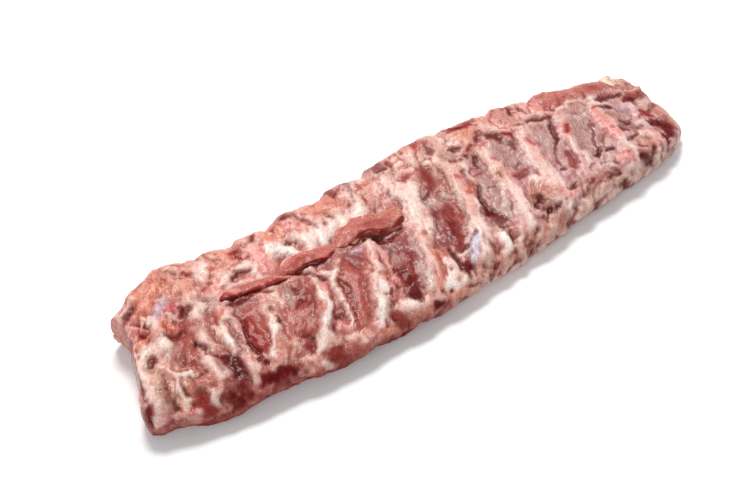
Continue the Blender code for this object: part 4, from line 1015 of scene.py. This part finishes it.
def flesh_material(settings):
    """Wet raw meat and fat: painted tissue with fibres, blood, marbling, pale film streaks that are also a
    painted wet sheen, and a fine wet relief.
    """
    nodes = Nodes("raw_meat_and_fat")
    place = nodes.add("ShaderNodeTexCoord").outputs["Object"]
    grain = nodes.attribute("grain", "Vector")
    lean = nodes.attribute("lean")
    film = nodes.attribute("film")
    # The tissue attribute holds the painted colour, with its painted shade and highlight.
    tissue = nodes.attribute("tissue", "Color")
    green = nodes.add("ShaderNodeSeparateColor", None, Color=tissue).outputs["Green"]

    fibre = nodes.noise(nodes.stretched(grain, 1.0, 0.16, 0.5), 0.75, 3.0, 0.6, 0.4)
    fleck = nodes.noise(nodes.stretched(grain, 1.0, 0.4, 0.7), 1.25, 2.0, 0.6, 0.6)
    vein = nodes.noise(place, 190.0, 4.0, 0.62, 1.2)
    wet = nodes.noise(place, 260.0, 2.0, 0.5, 0.8)
    fine = nodes.noise(place, 800.0, 2.0, 0.5)

    dark_fibre = nodes.rising(fibre, 0.52, 0.68, nodes.math("MULTIPLY", lean, 0.45))
    # Pale streaks on the film: whitish membrane, and also a painted wet sheen.
    film_streaks_and_sheen = nodes.rising(fibre, 0.46, 0.30, nodes.math("MULTIPLY", film, 0.72))
    blood = nodes.rising(vein, 0.55, 0.70, 0.32)
    marbling = nodes.math("MULTIPLY", nodes.rising(green, 0.02, 0.3, 0.24), nodes.ramp(vein, 0.42, 0.30))
    pale_fleck = nodes.math("MULTIPLY", nodes.rising(green, 0.0, 0.2, 0.40), nodes.ramp(fleck, 0.55, 0.70))
    dark_fleck = nodes.rising(fleck, 0.45, 0.30, 0.40)
    colour = tissue
    for share, shade in (
        (dark_fibre, FIBRE_DARK), (film_streaks_and_sheen, FILM_STREAK_AND_SHEEN), (blood, BLOOD), (marbling, MARBLING),
        (pale_fleck, FLECK_PALE), (dark_fleck, FLECK_DARK),
    ):
        colour = nodes.mix(share, colour, shade)

    roughness = nodes.math("MULTIPLY_ADD", vein, 0.30, 0.26)
    height = nodes.math("MULTIPLY_ADD", fibre, 0.9, nodes.math("MULTIPLY_ADD", wet, 0.9, fine))
    nodes.surface(colour, roughness, height, 0.7, 0.7 * MM)
    nodes.constant(
        IOR=1.36, Specular_IOR_Level=0.13, Specular_Tint=(1.0, 0.80, 0.76, 1),
        Coat_Weight=settings.wetness, Coat_Roughness=0.13, Coat_IOR=1.33,
        Subsurface_Weight=0.10, Subsurface_Radius=(0.0030, 0.0009, 0.0006), Subsurface_Scale=1.0,
    )
    return nodes.material


def bone_material(settings):
    """Sawn bone: red spongy marrow in a pale compact rim, greasy and a little wet."""
    nodes = Nodes("sawn_bone")
    place = nodes.add("ShaderNodeTexCoord").outputs["Object"]
    cut = nodes.attribute("cut")
    cells = nodes.add("ShaderNodeTexVoronoi", {"feature": "F1"}, Vector=place, Scale=900.0)
    spongy = cells.outputs["Distance"]
    stain = nodes.noise(place, 260.0, 3.0, 0.6)
    rim = (*linear(settings.rim), 1)
    marrow = nodes.mix(nodes.ramp(spongy, 0.40, 0.85), (*linear(settings.marrow), 1), rim)
    marrow = nodes.mix(nodes.ramp(stain, 0.5, 0.7), marrow, MARROW_BLOOD)
    outside = nodes.mix(nodes.ramp(stain, 0.45, 0.7), rim, BONE_STAIN)
    colour = nodes.mix(cut, outside, marrow)
    roughness = nodes.math("MULTIPLY_ADD", stain, 0.3, 0.3)
    nodes.surface(colour, roughness, nodes.math("MULTIPLY", spongy, cut), 0.6, 0.8 * MM, inverted=True)
    nodes.constant(IOR=1.4, Coat_Weight=0.2, Coat_Roughness=0.2)
    return nodes.material


def floor_material(settings):
    """A matt studio floor, so pale that it whitens out where the light falls."""
    nodes = Nodes("pale_floor")
    nodes.constant(
        Base_Color=(*settings.floor, 1), Roughness=0.9, Specular_IOR_Level=0.0,
        Emission_Color=(1, 1, 1, 1), Emission_Strength=0.12,
    )
    return nodes.material


# ---- pieces -------------------------------------------------------------------------------------


def new_object(name, bm, material, sharp_angle=None):
    """A smooth mesh object of this bmesh, with a sharp edge wherever it turns by more than the angle."""
    mesh = bpy.data.meshes.new(name)
    bm.to_mesh(mesh)
    bm.free()
    mesh.materials.append(material)
    mesh.shade_smooth()
    if sharp_angle is not None:
        mesh.set_sharp_from_angle(angle=sharp_angle)
    made = bpy.data.objects.new(name, mesh)
    bpy.context.scene.collection.objects.link(made)
    return made


def set_attribute(mesh, name, kind, values):
    """Puts one value on each point of a mesh."""
    field = {"FLOAT": "value", "FLOAT_COLOR": "color", "FLOAT_VECTOR": "vector"}[kind]
    made = mesh.attributes.new(name, kind, "POINT")
    made.data.foreach_set(field, np.ascontiguousarray(values, np.float32).ravel())


def dress(mesh, skin, order):
    """Puts a skin's colours and grain on a mesh, whose points stand in this order in the skin."""
    rgba = np.concatenate([skin.colour, np.ones((len(skin.colour), 1))], axis=1)
    set_attribute(mesh, "tissue", "FLOAT_COLOR", rgba[order])
    set_attribute(mesh, "lean", "FLOAT", skin.lean[order])
    set_attribute(mesh, "film", "FLOAT", skin.film[order])
    set_attribute(mesh, "grain", "FLOAT_VECTOR", skin.grain[order])


def grid_places(verts):
    """The places from -1 to 1 that a new grid's points have."""
    return np.array([vert.co[:2] for vert in verts])


def put_at(verts, places):
    """Moves points to these places in millimetres."""
    for vert, co in zip(verts, (places * MM).tolist()):
        vert.co = co


def make_flesh(settings, colours):
    """The meat and fat: one dense skin laid over the slab's form, bridged to a coarser underside."""
    bm = bmesh.new()
    bmesh.ops.create_grid(bm, x_segments=CELLS_LONG, y_segments=CELLS_WIDE, size=1.0)
    flat = grid_places(bm.verts)
    i = np.rint((flat[:, 0] + 1) / 2 * CELLS_LONG).astype(int)
    j = np.rint((flat[:, 1] + 1) / 2 * CELLS_WIDE).astype(int)
    order = np.argsort(i * (CELLS_WIDE + 1) + j)
    back = np.empty_like(order)
    back[order] = np.arange(len(order))
    surface = Surface(i[order].astype(float), j[order].astype(float))
    skin = paint(surface, colours, settings.rib_rise / MM)
    hold = smooth_step(0.0, 0.25, surface.share)
    outward = normals(surface.x, surface.y, surface.z)
    place = np.stack([surface.x, surface.y, surface.z], axis=-1) + outward * (skin.relief * hold)[:, None]
    place[:, 2] = np.maximum(place[:, 2], 0.0)
    put_at(bm.verts, place[back])

    rim = [edge for edge in bm.edges if edge.is_boundary]
    under = bmesh.ops.create_grid(bm, x_segments=UNDER_LONG, y_segments=UNDER_WIDE, size=1.0)["verts"]
    flat = grid_places(under)
    x, y = plan(0.5 + UNDER_REACH[0] * flat[:, 0], UNDER_MIDDLE + UNDER_REACH[1] * flat[:, 1]).T
    below = paint_under(x, y, colours)
    inside = smooth_step(1.0, 0.90, np.abs(flat)).min(axis=1)
    put_at(under, np.stack([x, y, inside * below.relief], axis=-1))
    seam = {edge for vert in under for edge in vert.link_edges if edge.is_boundary}
    bmesh.ops.bridge_loops(bm, edges=rim + list(seam))
    bmesh.ops.recalc_face_normals(bm, faces=bm.faces)
    flesh = new_object("flesh", bm, flesh_material(settings))
    for part in ("colour", "lean", "film", "grain"):
        setattr(skin, part, np.concatenate([getattr(skin, part), getattr(below, part)]))
    dress(flesh.data, skin, np.concatenate([back, len(back) + np.arange(len(under))]))
    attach(flesh, "root")
    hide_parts("meat")


def make_tube(rings, sides, place_on_ring):
    """A bmesh of a closed tube: place_on_ring(ring, turn) gives each point; the two ends are poles."""
    bm = bmesh.new()
    bmesh.ops.create_grid(bm, x_segments=rings - 1, y_segments=sides, size=1.0)
    flat = grid_places(bm.verts)
    ring = np.rint((flat[:, 0] + 1) / 2 * (rings - 1)).astype(int)
    turn = math.pi * (flat[:, 1] + 1)
    put_at(bm.verts, place_on_ring(ring, turn))
    bmesh.ops.remove_doubles(bm, verts=bm.verts, dist=1e-6)
    bmesh.ops.recalc_face_normals(bm, faces=bm.faces)
    return bm


def flesh_hit(start, way, axis):
    """Where a ray first meets the finished meat, along one axis in millimetres."""
    hit, place, _, _ = bpy.data.objects["flesh"].ray_cast(start, way)
    return place[axis] / MM if hit else 0.0


def flesh_height(x, y):
    """The height of the finished meat at a place, in millimetres."""
    return flesh_hit((x * MM, y * MM, 0.1), (0, 0, -1), 2)


def chine_wall(x, z):
    """How far out the finished meat's sawn side is at a place, in millimetres."""
    return flesh_hit((x * MM, 0.2, z * MM), (0, -1, 0), 1)


class StripCourse:
    """How a loose strip lies over the slab: its middle line, its width and the bed under it."""

    def __init__(self, points):
        self.t = 0.5 - 0.5 * np.cos(np.pi * np.arange(STRIP_RINGS) / (STRIP_RINGS - 1))
        course = along(points, self.t)
        self.x, self.y, self.lift, self.half, self.thick = course.T
        way = np.gradient(course[:, :2], axis=0)
        self.way = way / np.maximum(np.linalg.norm(way, axis=1, keepdims=True), 1e-6)
        self.length = np.linalg.norm(np.diff(course[:, :2], axis=0), axis=1).sum()
        self.low, self.bed, self.high = [self.bed_height(side) for side in (-0.8, 0.0, 0.8)]
        self.swell = np.clip(1 - (2 * self.t - 1) ** 4, 0, 1) ** 0.5

    def bed_height(self, side):
        """The meat's height under a line beside the middle, smoothed along it."""
        x = self.x - self.way[:, 1] * self.half * side
        y = self.y + self.way[:, 0] * self.half * side
        level = [flesh_height(*place) for place in zip(x, y)]
        return np.convolve(np.pad(level, 6, mode="edge"), np.ones(13) / 13, mode="valid")

    def nearest(self, place):
        """For each place, the nearest ring's number, and the distances across and along the strip."""
        ring = np.argmin(np.hypot(place[:, :1] - self.x, place[:, 1:2] - self.y), axis=1)
        across = (place[:, 0] - self.x[ring]) * self.way[ring, 1]
        across -= (place[:, 1] - self.y[ring]) * self.way[ring, 0]
        return ring, across, self.t[ring] * self.length


def strip_form(course):
    """A bmesh of a strip: draped over its bed, thick along its free edge and thin where it has grown
    onto the slab."""
    wave = mottle(np.stack([course.x, course.y, 9.0 * course.t], axis=-1), 9.0, 30)

    def place_on_ring(ring, turn):
        """A flat oval across the strip, laid on the bed, with its fibres and bumps on top."""
        swell, way = course.swell[ring], course.way[ring]
        half = course.half[ring] * swell * (1 + 0.14 * wave[ring])
        thick = course.thick[ring] * swell**0.7
        side = np.sign(np.cos(turn)) * np.abs(np.cos(turn)) ** 0.8
        upper = np.sin(turn) > 0
        body = (1 - np.abs(side) ** 3) ** 0.5
        rise = np.where(upper, thick * (0.55 - 0.45 * side), -0.5 * thick) * body
        rise -= 1.4 * smooth_step(0.1, 1.0, side)
        bed, low, high = course.bed[ring], course.low[ring], course.high[ring]
        tilt = np.where(side < 0, bed - low, high - bed)
        x = course.x[ring] - way[:, 1] * half * side
        y = course.y[ring] + way[:, 0] * half * side
        place = np.stack([x, y, bed + tilt * side + course.lift[ring] + rise], axis=-1)
        fibres = np.stack([half * side, 0.15 * course.t[ring] * course.length, 0 * side], axis=-1)
        bumpy = 0.45 * mottle(place, 9.0, 31) + 0.15 * mottle(place, 3.0, 32)
        bumpy += 0.25 * mottle(fibres, 2.2, 35)
        place[:, 2] += bumpy * body * swell * upper
        return place

    return make_tube(STRIP_RINGS, STRIP_SIDES, place_on_ring)


def paint_strip(place, course, base, marks, colours):
    """The skin of a strip: its own patches, a red underside and a dark hem of painted shade along its free
    edge.
    """
    ring, across, run = course.nearest(place)
    grain = np.stack([across, run, place[:, 2]], axis=-1)
    skin = Skin(place[:, 0], place[:, 1], grain, base, colours)
    streak, middle = mottle(grain * (1, 0.2, 1), 3.0, 33), mottle(place, 6.0, 34)
    skin.lay("pink", 0.4 * smooth_step(0.2, 0.6, middle))
    skin.mark(marks)
    skin.lay("red", 0.6 * (place[:, 2] < course.bed[ring] + course.lift[ring] - 0.4))
    # The free edge faces away from the key light: a dark maroon hem there is painted shade.
    free_edge_shade = smooth_step(0.50, 0.80, across / np.maximum(course.half[ring], 1.0) + 0.1 * middle)
    skin.lay("maroon", 0.85 * free_edge_shade * smooth_step(-0.5, 0.1, streak))
    skin.relief[:] = 0.0
    skin.film[:] = 0.3
    skin.finish(streak, middle, middle)
    return skin


def make_strip(name, points, base, marks, colours):
    """A loose strip of muscle through these places: (x, y, lift, half width, thickness)."""
    course = StripCourse(points)
    bm = strip_form(course)
    place = np.array([vert.co[:] for vert in bm.verts]) / MM
    skin = paint_strip(place, course, base, marks, colours)
    strip = new_object(name, bm, bpy.data.materials["raw_meat_and_fat"])
    dress(strip.data, skin, np.arange(len(place)))
    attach(strip, "root")


def sawn_plane(place):
    """Where the sawn side stands around a rib's head: (how far out it is, how much it leans back)."""
    head_x = rib_x(place, HEAD_Y)
    wall = np.array([
        [chine_wall(head_x + HEAD_PROBE[0] * right, HEAD_Z + HEAD_PROBE[1] * up) for right in (-1, 0, 1)]
        for up in (-1, 0, 1)
    ])
    slant = (wall[0] - wall[2]).mean() / (2 * HEAD_PROBE[1])
    return wall[1].max(), float(np.clip(slant, 0.0, 0.45))


def bone_rings(place, head_half, stop, slant):
    """A bone's rings from its tip to its sawn face: x, y, z, half width, half depth, lean, cut."""
    start = float(table_at(TIP_EDGE, rib_x(place, -62.0))) + BONE_INSET
    y = start + (stop - start) * np.linspace(0, 1, BONE_RINGS)
    share = (y - start) / (stop - start)
    head = smooth_step(0.62, 0.90, share)
    tip = 0.35 + 0.65 * smooth_step(0.0, 0.10, share)
    half_width = SHAFT_HALF_WIDTH * tip * (1 - head) + head_half * head
    half_depth = SHAFT_HALF_DEPTH * tip * (1 - head) + HEAD_HALF_HEIGHT * head
    x = rib_x(place, y)
    shaft_z = crown_at(x, y) - 8.6 - 4.0 * (1 - smooth_step(0.0, 0.25, share))
    z = shaft_z * (1 - head) + HEAD_Z * head
    rings = np.stack([x, y, z, half_width, half_depth, slant * head, np.zeros_like(y)], axis=-1)
    cap = [rings[-1] * (1, 1, 1, size, size, 1, 0) + (0, push, 0, 0, 0, 0, 1) for size, push in SAWN_FACE]
    foot = rings[0] * (1, 1, 1, 0.0, 0.0, 1, 1)
    return np.vstack([[foot], rings, cap])


def make_bone(number, place, settings, material):
    """A rib bone: an oval shaft in the meat, and the sawn head that shows at the chine."""
    room = min(abs(place[0] - other[0]) for other in RIB_PLACES if other is not place)
    head_half = min(settings.head_half_width / MM, 0.27 * room)
    wall, slant = sawn_plane(place)
    stop = wall + HEAD_PROUD
    rings = bone_rings(place, head_half, stop, slant)

    def place_on_ring(ring, turn):
        """An oval that leans back with the sawn side, a little rough, and rougher on its cut."""
        x, y, z, half, depth, lean, cut = rings[ring].T
        rise = depth * np.sin(turn)
        spot = np.stack([x + half * np.cos(turn), y - lean * rise, z + rise], axis=-1)
        rough = mottle(spot, 5.0, 40 + number)
        spot[:, 0] += 0.35 * rough * np.minimum(half, 1.0) * np.cos(turn)
        spot[:, 2] += 0.35 * rough * np.minimum(depth, 1.0) * np.sin(turn)
        spot[:, 1] += 0.25 * mottle(spot, 1.6, 60 + number) * (cut > 0)
        return spot

    bm = make_tube(len(rings), BONE_SIDES, place_on_ring)
    verts = np.array([vert.co[:] for vert in bm.verts]) / MM
    bone = new_object(f"rib_bone_{number:02d}", bm, material, BONE_SHARP)
    across = (verts[:, 0] - rib_x(place, verts[:, 1])) / head_half
    up = verts[:, 2] - rings[-1][2]
    face = verts[:, 1] > stop - slant * up - 0.6
    spongy = 1 - smooth_step(0.74, 0.9, np.hypot(across, up / HEAD_HALF_HEIGHT))
    set_attribute(bone.data, "cut", "FLOAT", face * spongy)
    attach(bone, "root")
    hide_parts(f"rib_{number:02d}")


# ---- the stage ----------------------------------------------------------------------------------


def area_light(name, place, size, watts, colour):
    """A soft rectangular light at place that faces the rack's middle."""
    light = bpy.data.lights.new(name, "AREA")
    light.shape = "RECTANGLE"
    light.size, light.size_y = size
    light.energy = watts
    light.color = colour
    made = bpy.data.objects.new(name, light)
    made.location = place
    made.rotation_euler = (-Vector(place)).to_track_quat("-Z", "Y").to_euler()
    bpy.context.scene.collection.objects.link(made)


def make_stage(settings):
    """The pale floor, the soft studio lights and the camera."""
    bm = bmesh.new()
    bmesh.ops.create_grid(bm, x_segments=1, y_segments=1, size=4.0)
    new_object("floor", bm, floor_material(settings))
    world = bpy.data.worlds.new("studio")
    world.use_nodes = True
    world.node_tree.nodes["Background"].inputs["Color"].default_value = (1, 1, 1, 1)
    world.node_tree.nodes["Background"].inputs["Strength"].default_value = settings.surrounding
    bpy.context.scene.world = world
    area_light("key", KEY_PLACE, (0.9, 0.7), settings.key_power, (1.0, 0.99, 0.97))
    area_light("fill", FILL_PLACE, (0.8, 0.8), settings.fill_power, (1.0, 1.0, 1.0))
    camera = bpy.data.cameras.new("camera")
    camera.lens = 60
    camera.sensor_width = 36
    made = bpy.data.objects.new("camera", camera)
    azimuth, elevation = settings.azimuth, settings.elevation
    back = Vector((
        math.sin(azimuth) * math.cos(elevation),
        -math.cos(azimuth) * math.cos(elevation),
        math.sin(elevation),
    ))
    made.location = Vector(CAMERA_TARGET) + back * settings.distance
    made.rotation_euler = (-back).to_track_quat("-Z", "Y").to_euler()
    bpy.context.scene.collection.objects.link(made)
    bpy.context.scene.camera = made
    bpy.context.scene.view_settings.view_transform = "Standard"


# ---- the add-on: settings, operators and panel --------------------------------------------------


def tissue_colour(label, colour):
    """A colour setting of one tissue."""
    return FloatVectorProperty(
        name=label, description=f"Colour of the {label.lower()} as seen", subtype="COLOR_GAMMA", size=3,
        min=0.0, max=1.0, default=colour,
    )


class TissueColours(bpy.types.PropertyGroup):
    """The colours that the flesh is painted with."""

    # Ivory also colours the painted highlights on crests and along some ribs.
    ivory: tissue_colour("Ivory film", (0.97, 0.90, 0.87))
    cream: tissue_colour("Cream fat", (0.94, 0.82, 0.78))
    fat: tissue_colour("Pinkish fat", (0.90, 0.73, 0.68))
    pink: tissue_colour("Pink fat", (0.90, 0.62, 0.59))
    salmon: tissue_colour("Salmon fat", (0.87, 0.57, 0.48))
    tan: tissue_colour("Tan rind", (0.78, 0.53, 0.46))
    orange: tissue_colour("Orange fat", (0.78, 0.38, 0.27))
    flesh: tissue_colour("Pale meat", (0.71, 0.38, 0.34))
    lean: tissue_colour("Lean meat", (0.60, 0.26, 0.23))
    red: tissue_colour("Red meat", (0.62, 0.17, 0.15))
    dark: tissue_colour("Dark meat", (0.47, 0.07, 0.06))
    maroon: tissue_colour("Blood-dark meat", (0.46, 0.02, 0.03))
    purple: tissue_colour("Purple meat", (0.42, 0.05, 0.10))
    mauve: tissue_colour("Mauve meat", (0.62, 0.37, 0.36))
    # Brown is the colour of brown patches, and in the dug-in folds also painted shade; the pit colour is
    # painted shade in pits and slits.
    brown: tissue_colour("Brown fold", (0.50, 0.25, 0.22))
    pit: tissue_colour("Deep pit", (0.44, 0.11, 0.09))
    grey: tissue_colour("Grey film", (0.73, 0.58, 0.55))
    lavender: tissue_colour("Lavender cartilage", (0.74, 0.60, 0.66))
    blue: tissue_colour("Blue-white gristle", (0.82, 0.78, 0.83))
    magenta: tissue_colour("Magenta marrow", (0.78, 0.28, 0.38))
    crimson: tissue_colour("Crimson blood", (0.62, 0.10, 0.16))
    beige: tissue_colour("Beige fat", (0.80, 0.66, 0.57))
    rose: tissue_colour("Rose meat", (0.80, 0.48, 0.45))
    # Taupe is also painted shade in the hollows of the fat fringe.
    taupe: tissue_colour("Taupe film", (0.56, 0.33, 0.30))
    peach: tissue_colour("Peach muscle", (0.77, 0.48, 0.43))


class FleshSettings(bpy.types.PropertyGroup):
    """Sizes and wetness of the meat and fat."""

    rib_rise: FloatProperty(
        name="Rib rise", description="How far a rib's ridge stands over the meat beside it", unit="LENGTH",
        default=0.0042, min=0.0, max=0.008,
    )
    wetness: FloatProperty(
        name="Wetness", description="Strength of the wet film over the meat", subtype="FACTOR",
        default=0.25, min=0.0, max=1.0,
    )


class BoneSettings(bpy.types.PropertyGroup):
    """Sizes and colours of the rib bones."""

    head_half_width: FloatProperty(
        name="Head half width", description="Half the width of a sawn rib head, where it has the room",
        unit="LENGTH", default=0.0105, min=0.004, max=0.014,
    )
    rim: FloatVectorProperty(
        name="Rim", description="Colour of the bone's hard rim as seen", subtype="COLOR_GAMMA", size=3,
        min=0.0, max=1.0, default=(0.90, 0.80, 0.72),
    )
    marrow: FloatVectorProperty(
        name="Marrow", description="Colour of the spongy marrow as seen", subtype="COLOR_GAMMA", size=3,
        min=0.0, max=1.0, default=(0.62, 0.22, 0.20),
    )


class StageSettings(bpy.types.PropertyGroup):
    """The floor, the lights and the camera."""

    floor: FloatVectorProperty(
        name="Floor", description="Colour of the floor", subtype="COLOR", size=3, min=0.0, max=1.0,
        default=(0.93, 0.93, 0.94),
    )
    key_power: FloatProperty(
        name="Key light", description="Power of the big light behind the rack", unit="POWER",
        default=57.0, min=0.0,
    )
    fill_power: FloatProperty(
        name="Fill light", description="Power of the weak light in front of the rack", unit="POWER",
        default=6.0, min=0.0,
    )
    surrounding: FloatProperty(
        name="Surrounding light", description="Strength of the white surroundings", default=0.34, min=0.0,
    )
    azimuth: FloatProperty(
        name="Azimuth", description="Turn of the camera about the rack, from its front", subtype="ANGLE",
        default=math.radians(-35.6),
    )
    elevation: FloatProperty(
        name="Elevation", description="Height of the camera over the floor, as an angle", subtype="ANGLE",
        default=math.radians(45.0),
    )
    distance: FloatProperty(
        name="Distance", description="Distance of the camera from the rack's middle", unit="LENGTH",
        default=0.909, min=0.1,
    )


def tissue_table(scene):
    """The tissues' colours, made linear."""
    return {name: linear(tuple(getattr(scene.rib_tissues, name))) for name in LEANNESS}


class RIBS_OT_stage(bpy.types.Operator):
    """Add the pale floor, the soft lights and the camera"""

    bl_idname = "ribs.stage"
    bl_label = "Stage"

    def execute(self, context):
        make_stage(context.scene.rib_stage)
        return {"FINISHED"}


class RIBS_OT_flesh(bpy.types.Operator):
    """Make the slab of meat and fat"""

    bl_idname = "ribs.flesh"
    bl_label = "Meat and fat"

    def execute(self, context):
        make_flesh(context.scene.rib_flesh, tissue_table(context.scene))
        context.view_layer.update()
        return {"FINISHED"}


class RIBS_OT_strips(bpy.types.Operator):
    """Lay the loose strips of muscle over the slab"""

    bl_idname = "ribs.strips"
    bl_label = "Loose muscle strips"

    def execute(self, context):
        if "flesh" not in bpy.data.objects:
            raise RuntimeError("the strips lie on the meat and fat, so make those first")
        colours = tissue_table(context.scene)
        for name, points, base, marks in STRIPS:
            make_strip(name, points, base, marks, colours)
        return {"FINISHED"}


class RIBS_OT_bones(bpy.types.Operator):
    """Make the rib bones with their sawn heads"""

    bl_idname = "ribs.bones"
    bl_label = "Rib bones"

    def execute(self, context):
        if "flesh" not in bpy.data.objects:
            raise RuntimeError("the bones end at the meat's sawn side, so make the meat first")
        material = bone_material(context.scene.rib_bones)
        for number, place in enumerate(RIB_PLACES, 1):
            make_bone(number, place, context.scene.rib_bones, material)
        return {"FINISHED"}


class RIBS_PT_panel(bpy.types.Panel):
    """Makes a raw rack of ribs, piece by piece"""

    bl_label = "Raw Rack of Ribs"
    bl_idname = "RIBS_PT_panel"
    bl_space_type = "VIEW_3D"
    bl_region_type = "UI"
    bl_category = "Ribs"

    def draw(self, context):
        scene = context.scene
        for operator, settings in (
            (RIBS_OT_stage, scene.rib_stage), (RIBS_OT_flesh, scene.rib_flesh),
            (RIBS_OT_strips, scene.rib_tissues), (RIBS_OT_bones, scene.rib_bones),
        ):
            box = self.layout.box()
            box.operator(operator.bl_idname)
            for key in type(settings).__annotations__:
                box.prop(settings, key)


CLASSES = (
    TissueColours, FleshSettings, BoneSettings, StageSettings,
    RIBS_OT_stage, RIBS_OT_flesh, RIBS_OT_strips, RIBS_OT_bones, RIBS_PT_panel,
)


def register():
    """Makes the classes and their settings known."""
    for cls in CLASSES:
        bpy.utils.register_class(cls)
    bpy.types.Scene.rib_tissues = PointerProperty(type=TissueColours)
    bpy.types.Scene.rib_flesh = PointerProperty(type=FleshSettings)
    bpy.types.Scene.rib_bones = PointerProperty(type=BoneSettings)
    bpy.types.Scene.rib_stage = PointerProperty(type=StageSettings)


def unregister():
    """Takes them away again."""
    for name in ("rib_tissues", "rib_flesh", "rib_bones", "rib_stage"):
        delattr(bpy.types.Scene, name)
    for cls in reversed(CLASSES):
        bpy.utils.unregister_class(cls)


def main():
    """Makes the whole rack."""
    register()
    bpy.ops.ribs.stage()
    bpy.ops.ribs.flesh()
    bpy.ops.ribs.strips()
    bpy.ops.ribs.bones()


if __name__ == "__main__":
    main()
